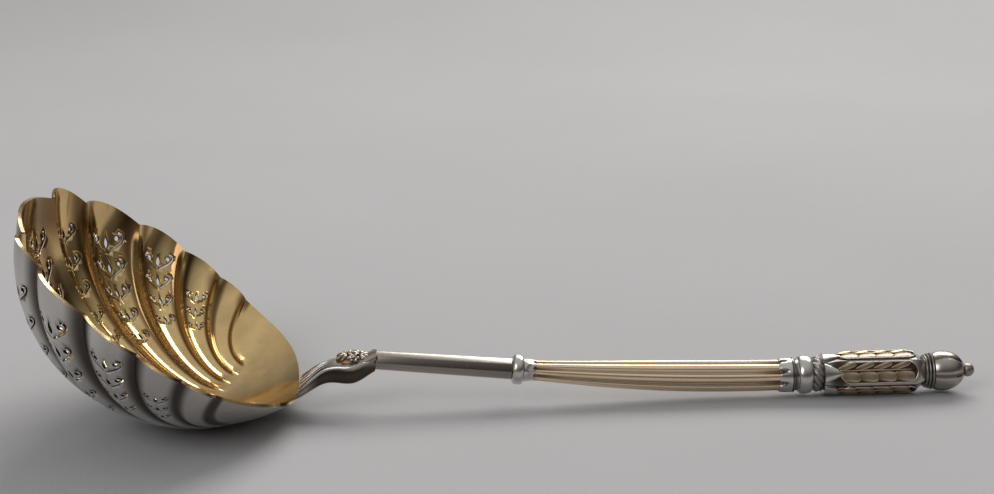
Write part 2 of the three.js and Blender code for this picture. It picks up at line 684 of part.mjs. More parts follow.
function lowerCalyx() {
  const from = SOLDER_GAP / 2;
  const waist = CALYX_RADIUS * 0.84;
  const mouth = FLUTED_START_RADIUS;
  const outline = [
    [CALYX_RADIUS, from], [CALYX_RADIUS, CALYX_LENGTH * 0.25], [waist, CALYX_LENGTH * 0.45],
    [mouth + 0.15, CALYX_LENGTH * 0.7], [mouth, CALYX_LENGTH],
  ];
  const seatBottom = CALYX_LENGTH - SEAT_LENGTH - SOLDER_GAP;
  const seat = roundBar(seatRadius(FLUTED_START_RADIUS) + SOLDER_GAP, seatBottom, CALYX_LENGTH + 1);
  const body = turned(outline)
    .subtract(roundBar(STEM_DOWEL_RADIUS + SOLDER_GAP, -1, CALYX_LENGTH))
    .subtract(seat);
  return piece("lower_calyx", body, SILVER);
}

// Fluted stem

const flutedRadius = (share) => {
  const growing = Math.min(share / FULLEST_PLACE, 1);
  const fading = Math.max((share - FULLEST_PLACE) / (1 - FULLEST_PLACE), 0);
  const growth = Math.sin((growing * Math.PI) / 2);
  const grown = THREE.MathUtils.lerp(FLUTED_START_RADIUS, FLUTED_FULL_RADIUS, growth);
  return THREE.MathUtils.lerp(grown, FLUTED_END_RADIUS, fading ** 2);
};

// A ring round the bent axis at a distance, in the frame that the fluted stem's start has.
function fluteRing(distance, count, radiusAt) {
  const start = axisAt(flutedStart);
  const here = axisAt(flutedStart + distance);
  const bend = here.slope - start.slope;
  const offset = here.point.clone().sub(start.point).applyAxisAngle(handleAxis, -start.slope);
  return ringAt(0, count, radiusAt, FLUTE_TURN).map((p) => {
    const along = offset.x + p.z * Math.sin(bend);
    const up = offset.z + p.z * Math.cos(bend);
    return new THREE.Vector3(p.x, along, up);
  });
}

function flutedStem() {
  const rings = [];
  const steps = 11;
  const bodyFrom = SEAT_LENGTH;
  const bodyTo = FLUTED_LENGTH - SEAT_LENGTH;
  for (let i = 0; i <= steps; i++) {
    const distance = THREE.MathUtils.lerp(bodyFrom, bodyTo, i / steps);
    const radius = flutedRadius(i / steps);
    const section = (angle) => {
      const wave = 0.5 + 0.5 * Math.cos(FLUTES * (angle - FLUTE_TURN));
      return radius * (1 - FLUTE_DEPTH * wave ** 1.4);
    };
    rings.push(fluteRing(distance, 4 * FLUTES, section));
  }
  const bar = (radius, from, to) => {
    const ends = [from, to].map((at) => fluteRing(at, cylinderSteps, () => radius));
    return solid(loft(ends));
  };
  const body = solid(loft(rings))
    .add(bar(seatRadius(FLUTED_START_RADIUS), 0, 2 * SEAT_LENGTH))
    .add(bar(seatRadius(FLUTED_END_RADIUS), bodyTo - SEAT_LENGTH, FLUTED_LENGTH))
    .subtract(bar(STEM_DOWEL_RADIUS + SOLDER_GAP, -1, DOWEL_GRIP))
    .subtract(bar(GRIP_DOWEL_RADIUS + SOLDER_GAP, FLUTED_LENGTH - DOWEL_GRIP, FLUTED_LENGTH + 1));
  return piece("fluted_stem", body, GILT);
}

// Dowels and the pieces between the fluted stem and the capital

function dowel(name, radius, length) {
  return piece(name, roundBar(radius, 0, length), SILVER);
}

const stemDowelStart = ringStart - DOWEL_GRIP + SOLDER_GAP;
const stemDowelLength = flutedStart + DOWEL_GRIP - SOLDER_GAP - stemDowelStart;
const gripDowelStart = flutedStart + FLUTED_LENGTH - DOWEL_GRIP + SOLDER_GAP;
const gripDowelLength = capitalStart + DOWEL_GRIP - SOLDER_GAP - gripDowelStart;

function upperCup() {
  const seat = seatRadius(FLUTED_END_RADIUS);
  const outside = FLUTED_END_RADIUS + SOLDER_GAP;
  const to = CUP_LENGTH - SOLDER_GAP / 2;
  const outline = [[outside, 0], [outside + CUP_FLARE, to * 0.7], [outside + CUP_FLARE, to]];
  const body = turned(outline, 2 * FLUTES)
    .subtract(roundBar(seat + SOLDER_GAP, -1, SEAT_LENGTH + SOLDER_GAP))
    .subtract(roundBar(GRIP_DOWEL_RADIUS + SOLDER_GAP, 0, CUP_LENGTH + 1))
    .subtract(fluteNotches(outside, SEAT_LENGTH * 0.9));
  return piece("upper_cup", body, SILVER);
}

function ropeRing() {
  const from = SOLDER_GAP / 2;
  const to = ROPE_RING_WIDTH - SOLDER_GAP / 2;
  const steps = 3;
  const rings = [];
  for (let i = 0; i <= steps; i++) {
    const share = i / steps;
    const crown = ROPE_RING_RADIUS * (0.9 + 0.1 * Math.sin(Math.PI * share));
    const strand = (angle) => crown - ROPE_DEPTH * (0.5 + 0.5 * Math.cos(ROPE_STRANDS * angle));
    const turn = ROPE_TURN * share;
    rings.push(ringAt(THREE.MathUtils.lerp(from, to, share), 3 * ROPE_STRANDS, strand).map((point) =>
      point.applyAxisAngle(handleAxis, turn),
    ));
  }
  const body = solid(loft(rings)).subtract(roundBar(GRIP_DOWEL_RADIUS + SOLDER_GAP, -1, ROPE_RING_WIDTH + 1));
  return piece("rope_ring", body, DARK_SILVER);
}

// Capital: five sides, one on top, each with a pointed leaf at its base and a wheat ear on an arched panel

const sideAngle = (side) => Math.PI / 2 + (2 * Math.PI * side) / CAPITAL_SIDES;
const panelEnd = CAPITAL_LENGTH - SHOULDER_LENGTH;

// Carries a shape drawn across (X) and along (Y) a side of the capital onto that side.
function ontoSide(side) {
  const toSide = new THREE.Matrix4().makeRotationY(Math.PI / 2 - sideAngle(side));
  return toSide.multiply(new THREE.Matrix4().makeTranslation(0, 0, capitalInradius));
}

function arch(halfWidth, from, to) {
  const shape = new THREE.Shape();
  shape.moveTo(-halfWidth, from);
  shape.lineTo(halfWidth, from);
  shape.lineTo(halfWidth, to - halfWidth);
  shape.absarc(0, to - halfWidth, halfWidth, 0, Math.PI);
  return shape;
}

// A kernel on one side of the ear's middle line: a slanting four-cornered roof with a short ridge.
function kernel(along, hand) {
  const length = kernelPitch - KERNEL_GAP;
  const inner = KERNEL_GAP / 2;
  const outer = panelHalfWidth - PANEL_MARGIN;
  const corners = [[inner, 0], [outer, KERNEL_SLANT], [outer, length + KERNEL_SLANT], [inner, length]];
  const points = corners.map(([x, y]) => new THREE.Vector3(hand * x, along + y, -KERNEL_SINK));
  for (const share of [0.3, 0.75]) {
    const forward = along + KERNEL_SLANT / 2 + share * length;
    points.push(new THREE.Vector3((hand * (inner + outer)) / 2, forward, KERNEL_HEIGHT));
  }
  const base = [[0, 2, 1], [0, 3, 2]];
  const roof = [[0, 1, 4], [1, 2, 5], [1, 5, 4], [2, 3, 5], [3, 0, 4], [3, 4, 5]];
  return solid(closedGeometry(points, [...base, ...roof]));
}

const kernelStart = LEAF_LENGTH * 0.5;
const kernelPitch = (panelEnd - panelHalfWidth * 0.6 - kernelStart) / KERNEL_PAIRS;

function wheatEar() {
  const kernels = [];
  for (let pair = 0; pair < KERNEL_PAIRS; pair++) {
    for (const hand of [-1, 1]) kernels.push(kernel(kernelStart + pair * kernelPitch, hand));
  }
  const edge = arch(panelHalfWidth - PANEL_MARGIN, 0, panelEnd - PANEL_MARGIN);
  const depth = 4 * KERNEL_HEIGHT;
  const bounds = new THREE.ExtrudeGeometry(edge, { depth, bevelEnabled: false, curveSegments: 4 });
  bounds.translate(0, 0, -depth / 2);
  return wasm.Manifold.union(kernels).intersect(solid(bounds));
}

function baseLeaf() {
  const half = CAPITAL_BASE_RADIUS * Math.sin(Math.PI / CAPITAL_SIDES);
  const shape = new THREE.Shape();
  shape.moveTo(-half, SOLDER_GAP / 2);
  shape.lineTo(half, SOLDER_GAP / 2);
  shape.lineTo(0, LEAF_LENGTH);
  const leaf = new THREE.ExtrudeGeometry(shape, { depth: LEAF_HEIGHT + PANEL_HEIGHT, bevelEnabled: false });
  leaf.translate(0, 0, -PANEL_HEIGHT);
  return solid(leaf);
}

function capital() {
  const from = SOLDER_GAP / 2;
  const to = CAPITAL_LENGTH - SOLDER_GAP / 2;
  const profile = [
    [CAPITAL_BASE_RADIUS, from],
    [CAPITAL_RADIUS * 0.96, LEAF_LENGTH * 0.6],
    [CAPITAL_RADIUS, LEAF_LENGTH],
    [CAPITAL_RADIUS, panelEnd - panelHalfWidth * 0.5],
    [CAPITAL_RADIUS * 0.94, panelEnd],
    [NECK_RADIUS * 0.85, to],
  ];
  const rings = profile.map(([radius, height]) => {
    return ringAt(height, CAPITAL_SIDES, () => radius, Math.PI / 2 + Math.PI / CAPITAL_SIDES);
  });
  const outline = arch(panelHalfWidth, LEAF_LENGTH * 0.4, panelEnd);
  const depth = 2 * PANEL_HEIGHT;
  const panel = new THREE.ExtrudeGeometry(outline, { depth, bevelEnabled: false, curveSegments: 4 });
  panel.translate(0, 0, -PANEL_HEIGHT);
  const side = solid(panel).add(wheatEar().translate(0, 0, PANEL_HEIGHT)).add(baseLeaf());
  const sides = [];
  for (let i = 0; i < CAPITAL_SIDES; i++) sides.push(side.transform(ontoSide(i).elements));
  const body = solid(loft(rings))
    .add(wasm.Manifold.union(sides))
    .subtract(roundBar(GRIP_DOWEL_RADIUS + SOLDER_GAP, -1, DOWEL_GRIP))
    .subtract(roundBar(FINIAL_PIN_RADIUS + SOLDER_GAP, CAPITAL_LENGTH - DOWEL_GRIP, CAPITAL_LENGTH + 1));
  return piece("capital", body, SILVER);
}

// Neck, bud and the ball-headed pin that holds them

function neckRing() {
  const from = SOLDER_GAP / 2;
  const to = NECK_LENGTH - SOLDER_GAP / 2;
  const middle = (from + to) / 2;
  const lip = NECK_RADIUS * 0.82;
  const firstBead = beadOutline(lip, NECK_RADIUS * 0.9, from, middle, 3);
  const secondBead = beadOutline(lip, NECK_RADIUS, middle, to, 3);
  const outline = [...firstBead, ...secondBead.slice(1)];
  const body = turned(outline).subtract(roundBar(FINIAL_PIN_RADIUS + SOLDER_GAP, -1, NECK_LENGTH + 1));
  return piece("neck_ring", body, DARK_SILVER);
}

function bud() {
  const from = SOLDER_GAP / 2;
  const shares = [0, 0.22, 0.5, 0.78, 1];
  const rings = shares.map((share) => {
    const fullness = Math.cos((share - 0.22) * (share < 0.22 ? 2.4 : 1.45));
    const groove = BUD_GROOVE * Math.sin(Math.PI * Math.min(share + 0.15, 1));
    const seam = (angle) => Math.abs(Math.cos((BUD_PETALS * angle) / 2)) ** 6;
    const petal = (angle) => BUD_RADIUS * fullness * (1 - groove * seam(angle));
    return ringAt(THREE.MathUtils.lerp(from, BUD_LENGTH, share), 4 * BUD_PETALS, petal);
  });
  const body = solid(loft(rings)).subtract(roundBar(FINIAL_PIN_RADIUS + SOLDER_GAP, -1, BUD_LENGTH + 1));
  return piece("bud", body, SILVER);
}

function finialPin() {
  const start = neckStart - DOWEL_GRIP + SOLDER_GAP;
  const ball = new THREE.SphereGeometry(BALL_RADIUS, 12, 8);
  const centre = ballCentre - start;
  const body = roundBar(FINIAL_PIN_RADIUS, 0, centre).add(
    solid(ball, new THREE.Matrix4().makeTranslation(0, centre, 0)),
  );
  return alongHandle(start, piece("finial_pin", body, DARK_SILVER));
}

// The whole spoon, its origin on the table under the middle of the bowl's rest

const spoon = new THREE.Group();
spoon.position.x = -restDistance;
spoon.add(
  bowl(),
  heelBracket(),
  flowerBoss(),
  alongHandle(0, lowerStem()),
  alongHandle(stemDowelStart, dowel("stem_dowel", STEM_DOWEL_RADIUS, stemDowelLength)),
  lowerRing(),
  alongHandle(calyxStart, lowerCalyx()),
  alongHandle(flutedStart, flutedStem()),
  alongHandle(gripDowelStart, dowel("grip_dowel", GRIP_DOWEL_RADIUS, gripDowelLength)),
  alongHandle(cupStart, upperCup()),
  upperRing(),
  alongHandle(ropeRingStart, ropeRing()),
  alongHandle(capitalStart, capital()),
  alongHandle(neckStart, neckRing()),
  alongHandle(budStart, bud()),
  finialPin(),
);

const root = new THREE.Group();
root.add(spoon);

export default root;
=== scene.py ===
"""Sifter spoon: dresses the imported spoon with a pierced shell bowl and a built-up handle."""

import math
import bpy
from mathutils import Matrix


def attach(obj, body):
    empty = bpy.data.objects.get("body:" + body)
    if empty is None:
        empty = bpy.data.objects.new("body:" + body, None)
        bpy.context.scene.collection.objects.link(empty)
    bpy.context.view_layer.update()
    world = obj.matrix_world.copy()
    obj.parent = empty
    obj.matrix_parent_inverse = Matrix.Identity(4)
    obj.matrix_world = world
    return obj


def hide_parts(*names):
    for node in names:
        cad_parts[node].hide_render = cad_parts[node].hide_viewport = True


bl_info = {
    "name": "Sifter Spoon",
    "version": (1, 0, 0),
    "blender": (4, 5, 0),
    "location": "View3D > Sidebar > Spoon",
    "description": "Builds a sifter spoon with a pierced, fluted shell bowl on a silver and gilt handle",
    "category": "Add Mesh",
}

import bmesh
import bpy
from bpy.props import FloatProperty, FloatVectorProperty, IntProperty, PointerProperty
from mathutils import Matrix, Vector, kdtree

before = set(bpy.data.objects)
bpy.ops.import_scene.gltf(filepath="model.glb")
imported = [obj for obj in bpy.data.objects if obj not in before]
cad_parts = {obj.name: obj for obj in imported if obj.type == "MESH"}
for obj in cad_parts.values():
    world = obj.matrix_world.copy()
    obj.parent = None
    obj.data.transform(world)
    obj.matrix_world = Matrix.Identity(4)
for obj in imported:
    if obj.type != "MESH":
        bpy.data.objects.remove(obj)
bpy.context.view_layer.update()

MM = 0.001

# The bowl's form, in millimetres and degrees
BOWL_LENGTH = 60.0
BOWL_WIDTH = 68.4
BOWL_DEPTH = 19.2
BOWL_TILT = math.radians(37.1)
REST_FLAT_DEPTH = 0.15
RIB_ANGLES = (24, 43, 68, 89, 106, 120)
LOBE_ARCHES = (0.7, 1.7, 1.4, 1.25, 0.8, 0.6)
LOBE_BULGES = (0.05, 0.3, 0.27, 0.25, 0.2, 0.15)
HEEL_ARCH = 1.0
ROOT_DISTANCE = 19.3
ROOT_DRAWBACK = 2.3
ROOT_CENTRE_WIDTH = 6.0
ROOT_PITCH = 2.56
RIB_BOW_TIP = 0.09
RIB_BOW_HEEL = -0.09
FULL_LOBE_WIDTH = 30.0
SPRIG_COLUMNS = ((0.25, 6, 0), (1, 5, 0), (2, 5, 0), (3, 4, 0), (4, 3, 1))  # place, rows, rows left plain
SPRIG_LOBE_WIDTH = 10.0  # of a lobe whose sprigs are at their own size
SPRIG_LARGEST = 1.2
LEAF_HOLE_LENGTH = 2.3
LEAF_HOLE_WIDTH = 1.0
DOT_HOLE_RADIUS = 0.46
HOLE_REACH = 2.0
CURL_STEPS = 16
RIDGE_HEIGHT = 0.32

# The handle's form, in millimetres and degrees
BRACKET_REACH = 14.3
BRACKET_BITE = 0.3
TONGUE_LAP = 5.5
TONGUE_WIDTH = 7.2
TONGUE_DEPTH = 1.0
HEEL_WIDTH = 9.0
HEEL_HEIGHT = 2.7
HEEL_RISE = 0.6
WAIST_FROM_HEEL = 5.0
WAIST_WIDTH = 4.8
WAIST_HEIGHT = 3.9
WAIST_RISE = 1.5
BOSS_FROM_HEEL = 10.2
BOSS_WIDTH = 6.6
BOSS_HEIGHT = 4.7
BOSS_RISE = -0.1
SHOULDER_SIZE = 3.9
DOME_LENGTH = 6.8
DOME_WIDTH = 5.2
DOME_HEIGHT = 1.5
DOME_SINK = 0.95
FLOWER_STAND = 0.3
HANDLE_SLOPE = math.radians(5.5)
STEM_LENGTH = 25.4
STEM_START_RADIUS = 1.8
STEM_END_RADIUS = 2.05
RING_WIDTH = 2.2
RING_RADIUS = 2.85
CALYX_LENGTH = 2.8
CALYX_RADIUS = 2.15
SEAT_LENGTH = 1.2
REED_LENGTH = 47.5
REED_START_RADIUS = 1.85
REED_FULL_RADIUS = 3.0
REED_END_RADIUS = 2.9
REED_FULLEST = 0.72
REED_TURN = math.radians(30)
CUP_LENGTH = 2.4
GRIP_RING_WIDTH = 4.0
GRIP_RING_RADIUS = 3.65
TWIST_WIDTH = 1.9
TWIST_RADIUS = 3.35
CAPITAL_LENGTH = 19.2
CAPITAL_BASE_RADIUS = 3.35
CAPITAL_RADIUS = 4.0
CAPITAL_SIDES = 5
SHOULDER_LENGTH = 1.4
PANEL_HEIGHT = 0.3
PANEL_MARGIN = 0.15
PANEL_FOOT = 2.8
PANEL_FOOT_LENGTH = 2.2
BORDER_FOOT = 2.6
BORDER_INSET = 0.22
EAR_SHIFT = -0.45
LEAF_LENGTH = 4.0
NECK_LENGTH = 1.8
NECK_RADIUS = 3.45
NECK_BEADS = ((0.05, 0.55, 0.9), (0.6, 1.1, 0.96), (1.15, 1.75, 1.0))  # start, end, share of the radius
BUD_LENGTH = 5.8
BUD_RADIUS = 3.75
BUD_PETALS = 6
BALL_RADIUS = 1.28
BALL_NECK = ((0.85, -1.9), (0.8, -1.4), (0.95, -1.15), (0.78, -0.95))

# The cloth, the lamps and the surroundings, in metres and watts
CLOTH_HALF_LENGTH = 1.4
CLOTH_HALF_WIDTH = 1.2
CLOTH_CENTRE = 0.5
CLOTH_RISE = 0.5
CLOTH_DROP = 0.00005  # so that the bowl's flat and the cloth don't share a plane
LAMP_TARGET = (0.03, 0, 0.02)
WINDOW_PLACE = (0.35, 0.75, 0.75)
WINDOW_SIZE = (0.9, 0.6)
WINDOW_POWER = 9.0
WINDOW_COLOUR = (1.0, 0.99, 0.97)
CARD_PLACE = (-0.5, -0.55, 0.55)
CARD_SIZE = (0.5, 0.5)
CARD_POWER = 2.6
CARD_COLOUR = (0.96, 0.98, 1.0)
ROOM_STRENGTH = 0.75
ROOM_FLOOR = (0.16, 0.155, 0.15, 1)
ROOM_WALLS = (0.07, 0.066, 0.062, 1)
ROOM_CEILING = (0.72, 0.72, 0.73, 1)

# The photograph's view: degrees and millimetres
VIEW_AZIMUTH = -2.34
VIEW_ELEVATION = 14.56
VIEW_ROLL = -0.84
VIEW_DISTANCE = 340.3
VIEW_TARGET = (52.73, 0.0, 30.39)
VIEW_ANGLE = 30.0


def lerp(low, high, share):
    return low + (high - low) * share


def clamp(value, low=0.0, high=1.0):
    return max(low, min(high, value))


def smoothstep(value, low, high):
    share = clamp((value - low) / (high - low))
    return share * share * (3 - 2 * share)


# Bowl: part of a sphere widened sideways, with its own X towards the heel and Z up out of its opening

HALF_LENGTH = BOWL_LENGTH / 2
HALF_WIDTH = BOWL_WIDTH / 2
CAP_RADIUS = (HALF_LENGTH**2 + BOWL_DEPTH**2) / (2 * BOWL_DEPTH)
CAP_HEIGHT = CAP_RADIUS - BOWL_DEPTH
RIM_ANGLE = math.acos(CAP_HEIGHT / CAP_RADIUS)
WIDENING = HALF_WIDTH / HALF_LENGTH
RIBS = len(RIB_ANGLES)
LOBES = 2 * RIBS - 1
REST_DISTANCE = CAP_HEIGHT * math.sin(BOWL_TILT)
BOWL_HEIGHT = CAP_RADIUS - CAP_HEIGHT * math.cos(BOWL_TILT) - REST_FLAT_DEPTH
BOWL_PLACE = Matrix.Translation((-REST_DISTANCE, 0, BOWL_HEIGHT)) @ Matrix.Rotation(BOWL_TILT, 4, "Y")
HEEL_POINT = BOWL_PLACE @ Vector((HALF_LENGTH, 0, 0))


def across_ribs(place, value_at):
    """The value at a place across the fan, where ribs lie at the half numbers and the tip at 0."""
    rib = abs(place) - 0.5
    if rib <= 0:
        return value_at(0) * place / 0.5
    low = min(int(rib), RIBS - 2)
    value = lerp(value_at(low), value_at(low + 1), rib - low)
    return value if place > 0 else -value


def rib_angle(rib):
    return math.radians(RIB_ANGLES[rib])


def rib_root(rib):
    return ROOT_CENTRE_WIDTH / 2 + ROOT_PITCH * rib


def rib_bow(rib):
    return lerp(RIB_BOW_TIP, RIB_BOW_HEEL, rib / (RIBS - 1))


def rim_point(angle, rise):
    reach = math.sin(RIM_ANGLE + rise / CAP_RADIUS) / math.sin(RIM_ANGLE)
    return Vector((-HALF_LENGTH * reach * math.cos(angle), HALF_WIDTH * reach * math.sin(angle)))


def lobe_at(place):
    return min(round(abs(place)), RIBS - 1)


def across_lobe(place):
    """1 in the middle of a lobe and 0 on its ribs."""
    return max(0.0, 1 - (2 * (abs(place) - lobe_at(place))) ** 2)


def fan_point(place, along):
    """Plan point on the fan, from the root (0) to the rim (1)."""
    across = across_ribs(place, rib_root)
    start = Vector((ROOT_DISTANCE + ROOT_DRAWBACK * (across / rib_root(RIBS - 1)) ** 2, across))
    end = rim_point(across_ribs(place, rib_angle), LOBE_ARCHES[lobe_at(place)] * across_lobe(place))
    run = end - start
    bow = 4 * along * (1 - along) * across_ribs(place, rib_bow)
    side = abs(run.y) * bow * (1 if place > 0 else -1 if place < 0 else 0)
    return Vector((start.x + run.x * along + side, start.y + run.y * along - run.x * bow))


def lobe_width(lobe, along):
    return (fan_point(lobe - 0.5, along) - fan_point(lobe + 0.5, along)).length


def bulge(place, along, fullness):
    """How far a lobe stands out from the sphere."""
    width = lobe_width(lobe_at(place), along)
    onset = smoothstep(along, 0, 0.15)
    share = fullness * LOBE_BULGES[lobe_at(place)]
    return share * width * onset * across_lobe(place) / (1 + width / FULL_LOBE_WIDTH)


def on_sphere(plan, offset):
    """A point over a plan point, moved out from the sphere by an offset, and the sphere's normal there."""
    reach = min(math.hypot(plan.x / HALF_LENGTH, plan.y / HALF_WIDTH) * math.sin(RIM_ANGLE), 0.999)
    height = -math.sqrt(1 - reach * reach) * CAP_RADIUS
    normal = Vector((plan.x, plan.y / WIDENING**2, height)).normalized()
    return Vector((plan.x, plan.y, CAP_HEIGHT + height)) + normal * offset, normal


def row_place(share):
    low = -math.asin(ROOT_DISTANCE / CAP_RADIUS)
    swing = math.sin(lerp(low, RIM_ANGLE, share))
    return (swing - math.sin(low)) / (math.sin(RIM_ANGLE) - math.sin(low))


# Handle's axis: straight along the lower stem, then a gentle arc to level along the reeded stem

RING_START = STEM_LENGTH
CALYX_START = RING_START + RING_WIDTH
REED_START = CALYX_START + CALYX_LENGTH - SEAT_LENGTH
CUP_START = REED_START + REED_LENGTH - SEAT_LENGTH
GRIP_RING_START = CUP_START + CUP_LENGTH
TWIST_START = GRIP_RING_START + GRIP_RING_WIDTH
CAPITAL_START = TWIST_START + TWIST_WIDTH
NECK_START = CAPITAL_START + CAPITAL_LENGTH
BUD_START = NECK_START + NECK_LENGTH
BALL_CENTRE = BUD_START + BUD_LENGTH + BALL_RADIUS * 0.8
CAPITAL_INRADIUS = CAPITAL_RADIUS * math.cos(math.pi / CAPITAL_SIDES)
PANEL_HALF = CAPITAL_RADIUS * math.sin(math.pi / CAPITAL_SIDES) - PANEL_MARGIN
REST_HEIGHT = (CAPITAL_INRADIUS + PANEL_HEIGHT) * math.cos(math.pi / CAPITAL_SIDES) + PANEL_HALF * math.sin(
    math.pi / CAPITAL_SIDES
)
ARC_RADIUS = REED_LENGTH / HANDLE_SLOPE
STEM_START = Vector(
    (
        HEEL_POINT.x + BRACKET_REACH,
        0,
        REST_HEIGHT + ARC_RADIUS * (1 - math.cos(HANDLE_SLOPE)) + REED_START * math.sin(HANDLE_SLOPE),
    )
)


def axis_at(distance):
    """Place and slope of the handle's axis at a distance from the start of the stem."""
    straight = min(distance, REED_START)
    curved = clamp(distance - REED_START, 0, REED_LENGTH)
    level = max(distance - REED_START - REED_LENGTH, 0)
    slope = HANDLE_SLOPE - curved / ARC_RADIUS
    run = ARC_RADIUS * (math.sin(HANDLE_SLOPE) - math.sin(slope))
    drop = ARC_RADIUS * (math.cos(slope) - math.cos(HANDLE_SLOPE))
    x = straight * math.cos(HANDLE_SLOPE) + run + level
    fall = straight * math.sin(HANDLE_SLOPE) + drop
    return Vector((STEM_START.x + x, 0, STEM_START.z - fall)), slope


def along_handle(distance):
    """Matrix whose Y runs along the handle from a distance, with Z up and X towards the front."""
    point, slope = axis_at(distance)
    return Matrix.Translation(point) @ Matrix.Rotation(slope, 4, "Y") @ Matrix.Rotation(-math.pi / 2, 4, "Z")


# Mesh helpers, all in millimetres until a piece is finished


def everything(bm):
    return list(bm.verts) + list(bm.edges) + list(bm.faces)


def open_edges(bm):
    return [edge for edge in bm.edges if edge.is_boundary]


def verts_of(items):
    return [item for item in items if isinstance(item, bmesh.types.BMVert)]


def sleeve(columns, rows, place):
    """A closed tube from a grid rolled round: place(turn, share) gives each point, both from 0 to 1."""
    bm = bmesh.new()
    bmesh.ops.create_grid(bm, x_segments=columns, y_segments=rows, size=0.5)
    for vert in bm.verts:
        turn = clamp(vert.co.x + 0.5)
        vert.co = place(0.0 if turn > 0.9999 else turn, clamp(vert.co.y + 0.5))
    bmesh.ops.remove_doubles(bm, verts=bm.verts, dist=1e-4)
    bmesh.ops.holes_fill(bm, edges=open_edges(bm), sides=0)
    bmesh.ops.recalc_face_normals(bm, faces=bm.faces)
    return bm


def round_point(angle, radius, height):
    return Vector((radius * math.cos(angle), height, radius * math.sin(angle)))


def turned(outline, steps=64):
    """A turned piece round Y from its outline in radius and height, which starts and ends on the axis."""
    bm = bmesh.new()
    verts = [bm.verts.new((radius, height, 0)) for radius, height in outline]
    edges = [bm.edges.new(pair) for pair in zip(verts, verts[1:])]
    bmesh.ops.spin(
        bm, geom=verts + edges, cent=(0, 0, 0), axis=(0, 1, 0), angle=2 * math.pi, steps=steps, use_merge=True
    )
    bmesh.ops.remove_doubles(bm, verts=bm.verts, dist=1e-4)
    bmesh.ops.recalc_face_normals(bm, faces=bm.faces)
    return bm


def bead(edge_radius, crown, start, end, steps=10):
    """Outline of a rounded bead between two heights."""
    points = []
    for step in range(steps + 1):
        angle = math.pi * step / steps
        height = (start + end) / 2 - math.cos(angle) * (end - start) / 2
        points.append((edge_radius + (crown - edge_radius) * math.sin(angle), height))
    return points


def cap_outline(points):
    return [(0.0, points[0][1]), *points, (0.0, points[-1][1])]


def tube(path, radius, sides=10):
    """A round tube along points, where radius gives its size from its start (0) to its end (1)."""
    last = len(path) - 1

    def place(turn, share):
        step = round(share * last)
        ahead = path[min(step + 1, last)] - path[max(step - 1, 0)]
        angle = 2 * math.pi * turn
        ring = Vector((math.cos(angle), math.sin(angle), 0)) * radius(share)
        return path[step] + Vector((0, 0, 1)).rotation_difference(ahead) @ ring

    return sleeve(sides, last, place)


def tapered(thickest, power, start=0.0, end=1.0):
    """A tube's radius along it, as part of a half wave from a start to an end."""
    return lambda share: thickest * math.sin(math.pi * lerp(start, end, share)) ** power


def slab(outline, start, travel):
    """A flat shape at a height, pushed along Z into a solid."""
    bm = bmesh.new()
    verts = [bm.verts.new((point.x, point.y, start)) for point in outline]
    edges = [bm.edges.new(pair) for pair in zip(verts, verts[1:] + verts[:1])]
    bmesh.ops.contextual_create(bm, geom=edges)
    pushed = bmesh.ops.extrude_face_region(bm, geom=list(bm.faces))["geom"]
    bmesh.ops.translate(bm, vec=(0, 0, travel), verts=verts_of(pushed))
    bmesh.ops.recalc_face_normals(bm, faces=bm.faces)
    return bm


def flow(points, share):
    """A point on a smooth curve through points, from the first (0) to the last (1)."""
    before = points[0] * 2 - points[1]
    after = points[-1] * 2 - points[-2]
    held = [before, *points, after]
    spans = len(points) - 1
    span = min(int(share * spans), spans - 1)
    t = share * spans - span
    first, second, third, fourth = held[span : span + 4]
    lead = (third - first) / 2
    trail = (fourth - second) / 2
    curve = second * (2 * t**3 - 3 * t**2 + 1) + lead * (t**3 - 2 * t**2 + t)
    return curve + third * (3 * t**2 - 2 * t**3) + trail * (t**3 - t**2)


def pebble(length, width, height, squareness=1.0, subdivisions=3):
    """A rounded bud or kernel lying along Y."""
    bm = bmesh.new()
    bmesh.ops.create_icosphere(bm, subdivisions=subdivisions, radius=1)
    for vert in bm.verts:
        x, y, z = vert.co
        across = math.copysign(abs(x) ** squareness, x) * width / 2
        forward = math.copysign(abs(y) ** squareness, y) * length / 2
        vert.co = Vector((across, forward, z * height))
    return bm


def add_mesh(target, source, matrix=None):
    """Adds one bmesh to another and frees the first."""
    mesh = bpy.data.meshes.new("part")
    if matrix is not None:
        bmesh.ops.transform(source, matrix=matrix, verts=source.verts)
    source.to_mesh(mesh)
    source.free()
    target.from_mesh(mesh)
    bpy.data.meshes.remove(mesh)


def finish_mesh(name, bm, sharp=35.0, matrix=None):
    """Turns a bmesh in millimetres into an object in metres, at the origin, smooth up to a sharp angle."""
    if matrix is not None:
        bmesh.ops.transform(bm, matrix=matrix, verts=bm.verts)
    bmesh.ops.scale(bm, vec=(MM, MM, MM), verts=bm.verts)
    mesh = bpy.data.meshes.new(name)
    bm.to_mesh(mesh)
    bm.free()
    for polygon in mesh.polygons:
        polygon.use_smooth = True
    mesh.set_sharp_from_angle(angle=math.radians(sharp))
    piece = bpy.data.objects.new(name, mesh)
    bpy.context.scene.collection.objects.link(piece)
    return piece


def seat(piece, slot, *nodes):
    """Hands a finished piece to the frame."""
    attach(piece, "root")
    if nodes:
        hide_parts(*nodes)


